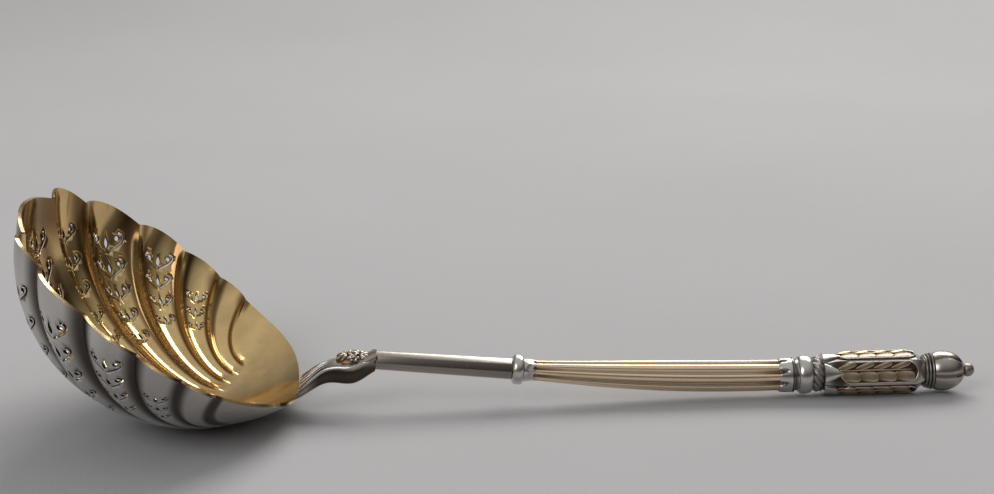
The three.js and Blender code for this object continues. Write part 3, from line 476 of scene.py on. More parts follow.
def boolean_cut(piece, cutter, transfer=True):
    """Cuts a piece with another object and removes the cutter."""
    before = len(piece.data.polygons)
    cut = piece.modifiers.new("cut", "BOOLEAN")
    cut.operation = "DIFFERENCE"
    cut.solver = "MANIFOLD"
    cut.object = cutter
    if transfer:
        cut.material_mode = "TRANSFER"
    depsgraph = bpy.context.evaluated_depsgraph_get()
    mesh = bpy.data.meshes.new_from_object(piece.evaluated_get(depsgraph))
    piece.modifiers.remove(cut)
    old = piece.data
    name = old.name
    piece.data = mesh
    bpy.data.meshes.remove(old)
    mesh.name = name
    if not transfer:
        mesh.materials.clear()
    bpy.data.objects.remove(cutter, do_unlink=True)
    if len(mesh.polygons) == before:
        raise RuntimeError(f"the cut changed nothing on {piece.name}")


# Bracket: a lofted strip that rises from under the heel to the stem, in shares of its half width and height

BRACKET_SECTION = (
    (0, 1), (0.5, 0.94), (0.86, 0.8), (1, 0.6), (0.98, 0.4), (0.74, 0.05),
    (0.72, -0.4), (0.66, -0.78), (0.4, -0.96), (0, -1),
)
SECTION_HALF = [Vector(point) for point in BRACKET_SECTION]
SECTION_LOOP = [*SECTION_HALF, *[Vector((-point.x, point.y)) for point in reversed(SECTION_HALF[:-1])]]


def bracket_stations():
    """Place, width and height of the bracket's stations, from the tongue under the bowl to the stem."""
    reach = BRACKET_REACH

    def line(x):
        return lerp(HEEL_POINT.z, STEM_START.z, x / reach)

    from_lowest = HEEL_POINT.x - TONGUE_LAP
    tongue = CAP_RADIUS - REST_FLAT_DEPTH - math.sqrt(CAP_RADIUS**2 - from_lowest**2)
    return (
        (-TONGUE_LAP, tongue, TONGUE_WIDTH, TONGUE_DEPTH),
        (0.0, line(0) + HEEL_RISE, HEEL_WIDTH, HEEL_HEIGHT),
        (WAIST_FROM_HEEL, line(WAIST_FROM_HEEL) + WAIST_RISE, WAIST_WIDTH, WAIST_HEIGHT),
        (BOSS_FROM_HEEL, line(BOSS_FROM_HEEL) + BOSS_RISE, BOSS_WIDTH, BOSS_HEIGHT),
        (reach, STEM_START.z, SHOULDER_SIZE, SHOULDER_SIZE),
    )


def bracket_point(share, across, up):
    """A point of the bracket at a share of its length, from its section's shares."""
    stations = bracket_stations()
    place = flow([Vector((x, z)) for x, z, _, _ in stations], share)
    size = flow([Vector((width, height)) for _, _, width, height in stations], share)
    lean = HANDLE_SLOPE * share
    lift = up * size.y / 2
    return Vector(
        (HEEL_POINT.x + place.x + lift * math.sin(lean), across * size.x / 2, place.y + lift * math.cos(lean))
    )


def bracket_groove(point):
    """Tarnish and painted shade in the bracket's hollow sides."""
    hollow = smoothstep(abs(point.y), 3.4, 2.6) * smoothstep(point.x, HEEL_POINT.x, HEEL_POINT.x + 4)
    top = STEM_START.z + 0.6
    return hollow * smoothstep(point.z, top, top - 1.6) * 0.95


BOSS_LEVEL = lerp(HEEL_POINT.z, STEM_START.z, BOSS_FROM_HEEL / BRACKET_REACH) + BOSS_RISE
FLOWER_LEVEL = BOSS_LEVEL + BOSS_HEIGHT / 2 + FLOWER_STAND


def flower_seat():
    """Matrix on top of the bracket's boss, with Y along the bracket and Z up."""
    place = Matrix.Translation((HEEL_POINT.x + BOSS_FROM_HEEL, 0, FLOWER_LEVEL - DOME_SINK))
    return place @ Matrix.Rotation(-math.pi / 2, 4, "Z")


def around_handle(point, start, length):
    """Angle round the handle's axis and share of a length, for a point in millimetres."""
    share = clamp((point.x - axis_at(start)[0].x) / (axis_at(start + length)[0].x - axis_at(start)[0].x))
    local = along_handle(start + length * share).inverted() @ point
    return math.atan2(local.z, local.x), share


def reed_radius(share):
    """The reeded stem's radius, which swells most at about three quarters of its length."""
    growth = math.sin(min(share / REED_FULLEST, 1) * math.pi / 2)
    fading = max((share - REED_FULLEST) / (1 - REED_FULLEST), 0)
    return lerp(lerp(REED_START_RADIUS, REED_FULL_RADIUS, growth), REED_END_RADIUS, fading**2)


# Capital: each side is drawn across (X) and along (Y), with Z out of the side

CAPITAL_PROFILE = [
    Vector((CAPITAL_BASE_RADIUS, 0.05)),
    Vector((CAPITAL_RADIUS * 0.96, LEAF_LENGTH * 0.6)),
    Vector((CAPITAL_RADIUS, LEAF_LENGTH + 1)),
    Vector((CAPITAL_RADIUS, CAPITAL_LENGTH * 0.6)),
    Vector((CAPITAL_RADIUS, CAPITAL_LENGTH - 2 * SHOULDER_LENGTH)),
    Vector((CAPITAL_RADIUS * 0.95, CAPITAL_LENGTH - SHOULDER_LENGTH)),
    Vector((NECK_RADIUS * 0.85, CAPITAL_LENGTH - 0.05)),
]


def arch_path(half, start, middle):
    """Outline of a panel that is pointed at its foot and round at its head."""
    left = []
    for step in range(7):
        across = -half * math.sin(math.pi / 2 * step / 6)
        left.append(Vector((across, start + PANEL_FOOT_LENGTH * step / 6, PANEL_HEIGHT)))
    for step in range(1, 9):
        left.append(Vector((-half, lerp(start + PANEL_FOOT_LENGTH, middle, step / 8), PANEL_HEIGHT)))
    head = []
    for step in range(1, 16):
        angle = math.pi * step / 16
        head.append(Vector((-half * math.cos(angle), middle + half * math.sin(angle), PANEL_HEIGHT)))
    return left + head + [Vector((-point.x, point.y, point.z)) for point in reversed(left)]


def arch_plate(half, start, middle):
    """The dark ground inside a panel's outline."""
    outline = arch_path(half, start, middle)[:-1]
    return slab([Vector((point.x * 0.97, point.y)) for point in outline], 0.16, -0.5)


def leaf_relief():
    """A pointed leaf at the foot of a side, raised along its middle."""
    half = CAPITAL_BASE_RADIUS * math.sin(math.pi / CAPITAL_SIDES) * 0.96

    def place(turn, share):
        angle = 2 * math.pi * turn
        width = half * (1 - share**1.15)
        ridge = 0.62 * max(0.0, math.sin(angle)) ** 1.1 * (1 - share**3)
        low = -0.4 if math.sin(angle) <= 0 else 0.0
        return Vector((width * math.cos(angle), 0.05 + LEAF_LENGTH * 1.04 * share, ridge + low))

    return sleeve(24, 16, place)


def capital_groove(point):
    """Tarnish all over the capital, darkest between its leaves, where it is also painted shade."""
    _, share = around_handle(point, CAPITAL_START, CAPITAL_LENGTH)
    return 0.75 * smoothstep(share, 0.0, 0.12) * smoothstep(share, 0.3, 0.16) + 0.25


def kernel_groove(point):
    """Shade between the kernels, by how far a point stands out of its side."""
    angle, share = around_handle(point, CAPITAL_START, CAPITAL_LENGTH)
    local = along_handle(CAPITAL_START + CAPITAL_LENGTH * share).inverted() @ point
    pitch = 2 * math.pi / CAPITAL_SIDES
    side = math.pi / 2 + round((angle - math.pi / 2) / pitch) * pitch
    out = local.x * math.cos(side) + local.z * math.sin(side)
    return smoothstep(out, CAPITAL_INRADIUS + 0.62, CAPITAL_INRADIUS + 0.25)


def bud_groove(point):
    """Tarnish and painted shade in the seams between the bud's petals, and darker towards its tip."""
    angle, share = around_handle(point, BUD_START, BUD_LENGTH)
    seam = smoothstep(abs(math.cos(BUD_PETALS * angle / 2)), 0.9, 1.0)
    return 0.9 * seam + 0.5 * smoothstep(share, 0.6, 1.0)


# Finishes


def node(tree, kind, **settings):
    """A node with its sockets and properties set by name; a socket given as a value is linked."""
    made = tree.nodes.new(kind)
    for key, value in settings.items():
        name = key.replace("_", " ")
        if name not in made.inputs:
            setattr(made, key, value)
        elif isinstance(value, bpy.types.NodeSocket):
            tree.links.new(value, made.inputs[name])
        else:
            made.inputs[name].default_value = value
    return made


def mixed(tree, low, high, share):
    """A colour between two, by the value of a socket."""
    tone = node(tree, "ShaderNodeMix", data_type="RGBA")
    tone.inputs[6].default_value = (*low, 1)
    tone.inputs[7].default_value = (*high, 1)
    tree.links.new(share, tone.inputs[0])
    return tone.outputs[2]


def bump(tree, shader, height, strength, distance):
    relief = node(tree, "ShaderNodeBump", Strength=strength, Distance=distance, Height=height)
    tree.links.new(relief.outputs["Normal"], shader.inputs["Normal"])


def metal(name, light, dark, roughness, wear, spots, depth, tarnish_and_shade="groove", gain=1.0):
    """A worn metal: mottled between two tones, darker where the attribute says (painted shade, with tarnish
    on the silver), with fine polishing marks.
    """
    material = bpy.data.materials.new(name)
    material.use_nodes = True
    tree = material.node_tree
    links = tree.links
    shader = tree.nodes["Principled BSDF"]
    shader.inputs["Metallic"].default_value = 1.0
    place = node(tree, "ShaderNodeTexCoord").outputs["Object"]
    mottle = node(tree, "ShaderNodeTexNoise", Vector=place, Scale=spots, Detail=5.0, Roughness=0.6)
    spread = node(
        tree, "ShaderNodeMapRange", Value=mottle.outputs["Fac"], From_Min=0.38, From_Max=0.68, To_Max=wear
    )
    share = spread.outputs["Result"]
    # The attribute adds painted shade, with tarnish on the silver, to the dark spots.
    if tarnish_and_shade:
        held = node(tree, "ShaderNodeAttribute", attribute_name=tarnish_and_shade)
        raised = node(tree, "ShaderNodeMath", operation="MULTIPLY", use_clamp=True)
        raised.inputs[1].default_value = gain
        links.new(held.outputs["Fac"], raised.inputs[0])
        added = node(tree, "ShaderNodeMath", operation="MAXIMUM")
        links.new(share, added.inputs[0])
        links.new(raised.outputs[0], added.inputs[1])
        share = added.outputs[0]
    links.new(mixed(tree, light, dark, share), shader.inputs["Base Color"])
    fine = node(tree, "ShaderNodeTexNoise", Vector=place, Scale=900.0, Detail=4.0, Roughness=0.7)
    marks = fine.outputs["Fac"]
    rough = node(tree, "ShaderNodeMapRange", Value=marks, To_Min=roughness[0], To_Max=roughness[1])
    links.new(rough.outputs["Result"], shader.inputs["Roughness"])
    bump(tree, shader, marks, 0.25, depth * MM)
    return material


def stamp(mesh, name, value_at):
    """Keeps a number on each vertex of a mesh in metres, worked out from its place in millimetres."""
    attribute = mesh.attributes.new(name, "FLOAT", "POINT")
    for vertex in mesh.vertices:
        attribute.data[vertex.index].value = clamp(value_at(vertex.co / MM))


class SpoonSizes(bpy.types.PropertyGroup):
    """Sizes of the dressed spoon that may be changed."""

    wall: FloatProperty(
        name="Bowl wall", description="Thickness of the bowl", default=0.65 * MM, min=0.4 * MM, unit="LENGTH"
    )
    fullness: FloatProperty(
        name="Lobe fullness", description="How far the lobes stand out, as a share of the usual", default=1.0
    )
    lobe_columns: IntProperty(name="Lobe columns", description="Columns of faces across a lobe", default=20)
    bowl_rows: IntProperty(name="Bowl rows", description="Rows of faces from root to rim", default=40)
    heel_rows: IntProperty(name="Heel rows", description="Rows of faces across the smooth heel", default=12)
    first_sprig: FloatProperty(
        name="First sprig", description="Place of the first pierced row, down from the rim", default=0.15
    )
    sprig_pitch: FloatProperty(
        name="Sprig pitch", description="From row to row, as a share of the wall's height", default=0.098
    )
    flutes: IntProperty(name="Reeds", description="Reeds round the gilt stem", default=8)
    flute_depth: FloatProperty(
        name="Reed depth", description="Depth of a channel, as a share of the stem's radius", default=0.17
    )
    strands: IntProperty(name="Strands", description="Strands of the twisted ring", default=12)
    kernel_pairs: IntProperty(name="Kernel pairs", description="Pairs of kernels in each ear", default=4)


class SpoonFinish(bpy.types.PropertyGroup):
    """Colours of the spoon's metals and of the cloth under it."""

    silver: FloatVectorProperty(
        name="Silver", description="Bright silver", subtype="COLOR", default=(0.62, 0.59, 0.55),
        min=0, max=1,
    )
    # Dark silver for tarnish and for the painted shade in the grooves.
    tarnish_and_shade: FloatVectorProperty(
        name="Tarnish", description="Dark silver in the grooves", subtype="COLOR",
        default=(0.11, 0.09, 0.075), min=0, max=1,
    )
    gilt: FloatVectorProperty(
        name="Gilt", description="Gilding in the bowl", subtype="COLOR", default=(0.83, 0.60, 0.28),
        min=0, max=1,
    )
    # Dark gilding: browned gilding, and the painted shade inside the bowl beside the ribs and near the rim.
    gilt_shade: FloatVectorProperty(
        name="Gilt shade", description="Browned gilding in the grooves", subtype="COLOR",
        default=(0.17, 0.085, 0.035), min=0, max=1,
    )
    pale_gilt: FloatVectorProperty(
        name="Pale gilt", description="Gilding of the reeded stem", subtype="COLOR",
        default=(0.88, 0.70, 0.50), min=0, max=1,
    )
    cloth: FloatVectorProperty(
        name="Cloth", description="Cloth that the spoon lies on", subtype="COLOR",
        default=(0.44, 0.43, 0.43), min=0, max=1,
    )


def finishes():
    """Each finish's light and dark tones, roughness, share of dark spots, their scale, and depth of marks.

    The attribute that darkens it follows where it isn't the tarnish and painted shade in the grooves, and its
    strength.
    """
    looks = bpy.context.scene.spoon_finish
    silver = tuple(looks.silver)
    tarnish_and_shade = tuple(looks.tarnish_and_shade)
    gilt = tuple(looks.gilt)
    shade = tuple(looks.gilt_shade)
    pale = tuple(looks.pale_gilt)
    return {
        "polished_silver": (silver, tarnish_and_shade, (0.2, 0.3), 0.12, 90.0, 0.008),
        "satin_silver": ((0.72, 0.69, 0.65), tarnish_and_shade, (0.32, 0.4), 0.15, 60.0, 0.006),
        "aged_silver": ((0.44, 0.39, 0.33), (0.06, 0.042, 0.03), (0.24, 0.34), 0.3, 120.0, 0.006),
        "worn_silver": ((0.44, 0.4, 0.355), (0.12, 0.09, 0.07), (0.22, 0.3), 0.15, 70.0, 0.004),
        "old_silver": ((0.34, 0.31, 0.28), tarnish_and_shade, (0.3, 0.45), 0.5, 220.0, 0.02),
        "bowl_gilding": (gilt, shade, (0.1, 0.17), 0.3, 130.0, 0.006),
        "stem_gilding": (pale, (0.24, 0.13, 0.06), (0.2, 0.3), 0.1, 90.0, 0.004),
        "ear_gilding": ((0.56, 0.45, 0.32), (0.16, 0.09, 0.045), (0.28, 0.4), 0.35, 220.0, 0.01),
        "ear_shade": ((0.2, 0.13, 0.075), (0.07, 0.04, 0.022), (0.35, 0.5), 0.8, 220.0, 0.02, None),
        "dark_pit": ((0.05, 0.04, 0.03), (0.02, 0.015, 0.01), (0.4, 0.5), 0.5, 220.0, 0.02, None),
        # Hole walls: near-white on the inner half as painted light, near-black on the outer half as painted
        # shade, by the outwards attribute.
        "hole_wall_light_and_shade": (
            (0.95, 0.88, 0.74), (0.02, 0.016, 0.012), (0.3, 0.4), 0.05, 220.0, 0.02, "outwards", 2.5,
        ),
    }


def coat(piece, *names):
    """Gives a piece the spoon's finishes of these names, each made once."""
    for name in names:
        if name not in bpy.data.materials:
            metal(name, *finishes()[name])
        piece.data.materials.append(bpy.data.materials[name])


def dress(name, bm, finish, slot, *nodes, sharp=35.0, matrix=None, groove=None):
    """Makes a piece from a bmesh, coats it, marks its painted shade and tarnish and hands it to the frame."""
    piece = finish_mesh(name, bm, sharp, matrix)
    coat(piece, finish)
    if groove:
        stamp(piece.data, "groove", groove)
    seat(piece, slot, *nodes)


# Bowl pieces


def off_rib(place):
    """How far a place across the fan lies from the nearest rib, where the middle of a lobe is 0.5."""
    return 0.5 - abs(place - round(place))


def rib_ridge(place, share):
    """Height of the narrow ridge that stands along each rib inside the bowl."""
    height = RIDGE_HEIGHT * smoothstep(off_rib(place), 0.15, 0.0)
    return height * smoothstep(share, 0.0, 0.1) * smoothstep(share, 1.0, 0.92)


def bowl_skin(offset, sizes, ridged=False):
    """One skin of the bowl, as a fan of lobes and a smooth heel, each a grid moved to its place."""
    columns = LOBES * sizes.lobe_columns
    rows = sizes.bowl_rows
    skin = bmesh.new()

    def fan_place(place, share):
        along = row_place(share)
        ridge = rib_ridge(place, share) if ridged else 0.0
        return fan_point(place, along), bulge(place, along, sizes.fullness), ridge

    def lifted(plan, out, ridge):
        return on_sphere(plan, out + offset - ridge)[0]

    bmesh.ops.create_grid(skin, x_segments=columns, y_segments=rows, size=0.5)
    for vert in skin.verts:
        place = (0.5 - clamp(vert.co.x + 0.5)) * LOBES
        vert.co = lifted(*fan_place(place, clamp(vert.co.y + 0.5)))

    heel = bmesh.new()
    steps = columns + 2 * rows
    bmesh.ops.create_grid(heel, x_segments=steps, y_segments=sizes.heel_rows, size=0.5)
    start = rib_angle(RIBS - 1)
    for vert in heel.verts:
        share = clamp(vert.co.x + 0.5)
        step = round(share * steps)
        if step <= rows:
            inner, out, ridge = fan_place(LOBES / 2, 1 - step / rows)
        elif step <= rows + columns:
            inner, out, ridge = fan_place(LOBES / 2 - (step - rows) / sizes.lobe_columns, 0)
        else:
            inner, out, ridge = fan_place(-LOBES / 2, (step - rows - columns) / rows)
        rise = HEEL_ARCH * math.sin(2 * math.pi * share) ** 2
        outer = rim_point(lerp(start, 2 * math.pi - start, share), rise)
        across = clamp(vert.co.y + 0.5)
        vert.co = lifted(inner.lerp(outer, across), out, ridge * smoothstep(across, 0.2, 0.0))
    add_mesh(skin, heel)
    bmesh.ops.remove_doubles(skin, verts=skin.verts, dist=2e-3)
    return skin


def bowl_shades(mesh, sizes):
    """Tarnish and painted shade on the outside along the valleys, and painted shade on the inside beside each
    rib and towards the far rim.
    """
    rows = sizes.bowl_rows
    columns = sizes.lobe_columns * LOBES
    samples = kdtree.KDTree(2 * (columns + 1) * (rows + 1))
    held = []
    for column in range(columns + 1):
        place = (column / columns - 0.5) * LOBES
        for row in range(rows + 1):
            share = row / rows
            along = row_place(share)
            plan = fan_point(place, along)
            out = bulge(place, along, sizes.fullness)
            depth = sizes.wall / MM + rib_ridge(place, share)
            for outside, skin in ((True, out), (False, out - depth)):
                samples.insert(BOWL_PLACE @ on_sphere(plan, skin)[0], len(held))
                held.append((place, share, outside))
    samples.balance()

    def shade(point):
        _, index, distance = samples.find(point)
        place, share, outside = held[index]
        from_rib = off_rib(place)
        near = smoothstep(distance, 1.8, 0.8)
        if outside:
            # Tarnish and painted shade along the valleys outside.
            return near * smoothstep(from_rib, 0.3, 0.05) * smoothstep(share, 0.02, 0.2)
        # Inside: painted shade at the foot of each rib's ridge, and on one half of each lobe near the rim.
        beside = smoothstep(from_rib, 0.06, 0.12) * smoothstep(from_rib, 0.3, 0.16)
        near_rim = smoothstep(share, 0.76, 0.93) * smoothstep(abs(place) - lobe_at(place), 0.05, 0.35)
        return near * max(0.9 * beside * smoothstep(share, 0.0, 0.08), 0.9 * near_rim)

    # Marks the outer skin, where the hole walls get their painted shade.
    def outwards(point):
        return 1.0 if held[samples.find(point)[1]][2] else 0.0

    stamp(mesh, "groove", shade)
    stamp(mesh, "outwards", outwards)


def leaf_outline(length, width):
    """Outline of a leaf pointed towards Y."""
    outline = []
    for step in range(14):
        angle = 2 * math.pi * step / 14
        narrowing = 0.5 * (1 - 0.75 * smoothstep(math.cos(angle), -0.2, 1.0))
        outline.append(Vector((-math.sin(angle) * width * narrowing, math.cos(angle) * length / 2)))
    return outline


def lobe_frame(place, along, fullness):
    """Matrix on the outside of a lobe, with Y up the lobe and Z out of the wall."""
    out = bulge(place, along, fullness)
    point, normal = on_sphere(fan_point(place, along), out)
    ahead = on_sphere(fan_point(place, along + 0.02), out)[0]
    up = (ahead - point).normalized()
    across = up.cross(normal).normalized()
    up = normal.cross(across)
    matrix = Matrix((across, up, normal)).transposed().to_4x4()
    matrix.translation = point
    return matrix


def sprigs(sizes):
    """Each pierced sprig as its frame and scale, in columns from the rim down the lobes."""
    for column, rows, plain in SPRIG_COLUMNS:
        room = 0.5 if column < 0.5 else 1.0
        for row in range(plain, plain + rows):
            along = row_place(1 - sizes.first_sprig - row * sizes.sprig_pitch)
            scale = min(room * lobe_width(lobe_at(column), along) / SPRIG_LOBE_WIDTH, SPRIG_LARGEST)
            for side in (1, -1):
                yield lobe_frame(side * column, along, sizes.fullness), scale


def ribbon_outline(path, width):
    """Outline along both sides of a path in the sprig's plane, where width gives its half width."""
    last = len(path) - 1
    left = []
    right = []
    for step, point in enumerate(path):
        ahead = path[min(step + 1, last)] - path[max(step - 1, 0)]
        side = Vector((-ahead.y, ahead.x)).normalized() * width(step / last)
        left.append(point + side)
        right.append(point - side)
    return [*left, *reversed(right)]


def dot_outline(radius):
    turns = [step * math.pi / 6 for step in range(12)]
    return [Vector((radius * math.cos(turn), radius * math.sin(turn))) for turn in turns]


def curl_path(side):
    """A tendril's curl from the foot of the leaf out to one side and back over its own dot."""
    bends = ((0.25, -1.75), (0.9, -1.25), (1.8, -0.7), (2.6, 0.0), (2.92, 0.8), (2.6, 1.42), (2.1, 1.45))
    points = [Vector(bend) for bend in bends]
    curl = [flow(points, step / CURL_STEPS) for step in range(CURL_STEPS + 1)]
    return [Vector((side * point.x, point.y)) for point in curl]


def pierce(holes, outline, place):
    """Adds one hole of the sprigs to the cutter, through the wall both ways."""
    add_mesh(holes, slab(outline, -HOLE_REACH, 2 * HOLE_REACH), place)


class SPOON_OT_bowl(bpy.types.Operator):
    """Builds the pierced, fluted shell bowl, gilt inside"""

    bl_idname = "spoon.bowl"
    bl_label = "Shell bowl"

    def execute(self, context):
        sizes = context.scene.spoon_sizes
        shell = bowl_skin(0.0, sizes)
        outer_count = len(shell.faces)
        add_mesh(shell, bowl_skin(-sizes.wall / MM, sizes, ridged=True))
        shell.faces.ensure_lookup_table()
        for face in shell.faces[outer_count:]:
            face.material_index = 1
        for face in bmesh.ops.bridge_loops(shell, edges=open_edges(shell))["faces"]:
            face.material_index = 1
        bmesh.ops.recalc_face_normals(shell, faces=shell.faces)
        bmesh.ops.transform(shell, matrix=BOWL_PLACE, verts=shell.verts)
        low = bmesh.ops.bisect_plane(
            shell, geom=everything(shell), plane_co=(0, 0, 0), plane_no=(0, 0, -1), clear_outer=True
        )
        flat_edges = [item for item in low["geom_cut"] if isinstance(item, bmesh.types.BMEdge)]
        bmesh.ops.holes_fill(shell, edges=flat_edges, sides=0)
        piece = finish_mesh("shell_bowl", shell)
        coat(piece, "satin_silver", "bowl_gilding")

        leaf = leaf_outline(LEAF_HOLE_LENGTH, LEAF_HOLE_WIDTH)
        dot = dot_outline(DOT_HOLE_RADIUS)
        holes = bmesh.new()
        for matrix, scale in sprigs(sizes):
            place = BOWL_PLACE @ matrix @ Matrix.Diagonal((scale, scale, 1, 1))
            pierce(holes, leaf, place @ Matrix.Translation((0, 0.15, 0)))
            for side in (1, -1):
                pierce(holes, ribbon_outline(curl_path(side), lambda share: lerp(0.1, 0.2, share)), place)
                pierce(holes, dot, place @ Matrix.Translation((side * 1.95, 0.62, 0)))
        cutter = finish_mesh("hole_cutter", holes)
        coat(cutter, "hole_wall_light_and_shade")
        boolean_cut(piece, cutter)
        bowl_shades(piece.data, sizes)
        seat(piece, "silver", "bowl")
        return {"FINISHED"}


def bowl_room():
    """The room inside the bowl and above it, which is cut out of the bracket."""
    room = bmesh.new()
    bmesh.ops.create_uvsphere(room, u_segments=96, v_segments=64, radius=CAP_RADIUS - BRACKET_BITE)
    widened = Matrix.Translation((0, 0, CAP_HEIGHT)) @ Matrix.Diagonal((1, WIDENING, 1, 1))
    bmesh.ops.transform(room, matrix=widened, verts=room.verts)
    bmesh.ops.bisect_plane(
        room, geom=everything(room), plane_co=(0, 0, 0), plane_no=(0, 0, 1), clear_outer=True
    )
    raised = bmesh.ops.extrude_edge_only(room, edges=open_edges(room))["geom"]
    bmesh.ops.translate(room, vec=(0, 0, BOWL_DEPTH), verts=verts_of(raised))
    bmesh.ops.holes_fill(room, edges=open_edges(room), sides=0)
    bmesh.ops.recalc_face_normals(room, faces=room.faces)
    return room


class SPOON_OT_bracket(bpy.types.Operator):
    """Builds the shaped bracket that carries the bowl, with its scrolled edges"""

    bl_idname = "spoon.bracket"
    bl_label = "Heel bracket"

    def execute(self, context):
        def place(turn, share):
            section = flow(SECTION_LOOP, turn)
            return bracket_point(share, section.x, section.y)

        piece = finish_mesh("bracket_body", sleeve(72, 60, place), 40)
        boolean_cut(piece, finish_mesh("bowl_room", bowl_room(), 40, BOWL_PLACE), transfer=False)
        coat(piece, "aged_silver")
        stamp(piece.data, "groove", bracket_groove)
        seat(piece, "silver", "heel_bracket")

        ends = ((0.9, 0.98, 0.5), (0.94, 0.86, 0.62), (0.975, 0.62, 0.8))
        scroll = (
            (0.44, 0.74, -0.5), (0.62, 0.76, -0.45), (0.78, 0.8, -0.4), (0.88, 0.92, -0.1),
            (0.94, 0.95, 0.4), (0.965, 0.85, 0.62), (0.985, 0.7, 0.75),
        )
        trim = bmesh.new()
        for side in (1, -1):
            edge = [bracket_point(lerp(0.34, 0.86, step / 30), side, 0.62) for step in range(31)]
            curl = [bracket_point(share, side * across, up) for share, across, up in ends]
            add_mesh(trim, tube(edge + curl, tapered(0.34, 0.5, 0.06, 0.94)))
            bends = [bracket_point(*bend) for bend in scroll]  # not mirrored: both lie on the far side
            band = [flow(bends, step / 30) for step in range(31)]
            add_mesh(trim, tube(band, tapered(0.6, 0.6, 0.04, 0.86)))
        for line in range(-2, 3):
            wisp = []
            for step in range(25):
                share = step / 24
                across = line * lerp(0.34, 0.3, share)
                wisp.append(bracket_point(lerp(0.24, 0.6, share), across, 0.97 - 0.03 * line**2))
            add_mesh(trim, tube(wisp, tapered(0.16, 0.6), 8))
        dress("bracket_trim", trim, "polished_silver", "silver", sharp=60)
        return {"FINISHED"}


class SPOON_OT_flowers(bpy.types.Operator):
    """Builds the cluster of four small flowers on the bracket, with leaves between them"""

    bl_idname = "spoon.flowers"
    bl_label = "Flower cluster"

    def execute(self, context):
        place = flower_seat()
        ground = pebble(DOME_LENGTH, DOME_WIDTH, DOME_HEIGHT, 1.0, 4)
        dress("flower_ground", ground, "ear_shade", "silver", sharp=60, matrix=place)
        half_length = DOME_LENGTH / 2
        half_width = DOME_WIDTH / 2

        def on_dome(along, across, turn=0.0):
            """Matrix on the flowers' domed ground, with Z out of it."""
            height = math.sqrt(max(0.05, 1 - (along / half_length) ** 2 - (across / half_width) ** 2))
            out = Vector((across / half_width**2, along / half_length**2, height / DOME_HEIGHT)).normalized()
            lean = Vector((0, 0, 1)).rotation_difference(out).to_matrix().to_4x4()
            spot = Matrix.Translation((across, along, height * DOME_HEIGHT))
            return spot @ lean @ Matrix.Rotation(math.radians(turn), 4, "Z")

        cluster = bmesh.new()
        for along, across, size in ((-1.15, 0, 1.2), (1.15, 0, 1.2), (0.0, 1.85, 1.1), (0.0, -1.85, 1.1)):
            middle = on_dome(along, across)
            add_mesh(cluster, pebble(0.6, 0.6, 0.3), middle @ Matrix.Translation((0, 0, 0.22)))
            for petal in range(6):
                lean = Matrix.Rotation(petal * math.pi / 3, 4, "Z")
                lean = lean @ Matrix.Translation((0, 0.6 * size, 0.06))
                lean = lean @ Matrix.Rotation(math.radians(14), 4, "X")
                add_mesh(cluster, pebble(0.9 * size, 0.66 * size, 0.22), middle @ lean)
        for end in (-1, 1):
            for hand in (-1, 1):
                for along, across, turn in ((2.5, 0.7, -25), (1.7, 1.45, -48)):
                    leaf = pebble(1.7, 0.9, 0.42)
                    add_mesh(cluster, leaf, on_dome(end * along, hand * across, turn * end * hand))

        # Tarnish and painted shade between the flowers and leaves: darker the lower a point lies.
        def between(point):
            return 0.5 - (point.z - FLOWER_LEVEL) / 1.6

        dress(
            "boss_flowers", cluster, "aged_silver", "silver", "flower_boss",
            sharp=60, matrix=place, groove=between,
        )
        return {"FINISHED"}


class SPOON_OT_stem(bpy.types.Operator):
    """Builds the eight-sided lower stem with its ring and its petalled cup"""

    bl_idname = "spoon.stem"
    bl_label = "Lower stem"

    def execute(self, context):
        def stem_place(turn, share):
            radius = lerp(STEM_START_RADIUS, STEM_END_RADIUS, share)
            return round_point(2 * math.pi * turn, radius, STEM_LENGTH * share)

        bar = sleeve(8, 1, stem_place)
        bmesh.ops.bevel(
            bar, geom=list(bar.edges), offset=0.11, segments=2, profile=0.5, affect="EDGES", material=-1
        )

        def facet(point):
            """Painted dark reflection on the facet that a point lies on, most on the lowest ones."""
            angle, _ = around_handle(point, 0, STEM_LENGTH)
            height = math.sin((math.floor(angle / (math.pi / 4)) + 0.5) * math.pi / 4)
            for limit, dark in ((-0.5, 0.7), (0, 0.2), (0.5, 0.6)):
                if height < limit:
                    return dark
            return 0.2

        start = along_handle(0)
        dress("stem_bar", bar, "worn_silver", "silver", "lower_stem", sharp=20, matrix=start, groove=facet)

        crown = bead(CALYX_RADIUS + 0.14, RING_RADIUS, 0.08, RING_WIDTH - 0.08, 18)
        ring = turned(cap_outline([(CALYX_RADIUS, 0.04), *crown, (CALYX_RADIUS, RING_WIDTH - 0.04)]))
        start = along_handle(RING_START)
        dress("stem_ring", ring, "polished_silver", "silver", "lower_ring", sharp=40, matrix=start)

        def cup_place(turn, share):
            angle = 2 * math.pi * turn
            point = abs(math.cos(4 * (angle - REED_TURN))) ** 0.8
            reach = lerp(CALYX_LENGTH, CALYX_LENGTH * 0.62, point)
            waist = lerp(CALYX_RADIUS, REED_START_RADIUS + 0.12, smoothstep(share, 0.12, 0.75))
            groove = 0.1 * point * smoothstep(share, 0.2, 0.5)
            edge = 0.16 * smoothstep(share, 0.94, 1.0)
            return round_point(angle, waist - groove - edge, reach * share)

        cup = sleeve(128, 24, cup_place)
        start = along_handle(CALYX_START)
        dress("stem_calyx", cup, "polished_silver", "silver", "lower_calyx", sharp=40, matrix=start)
        return {"FINISHED"}


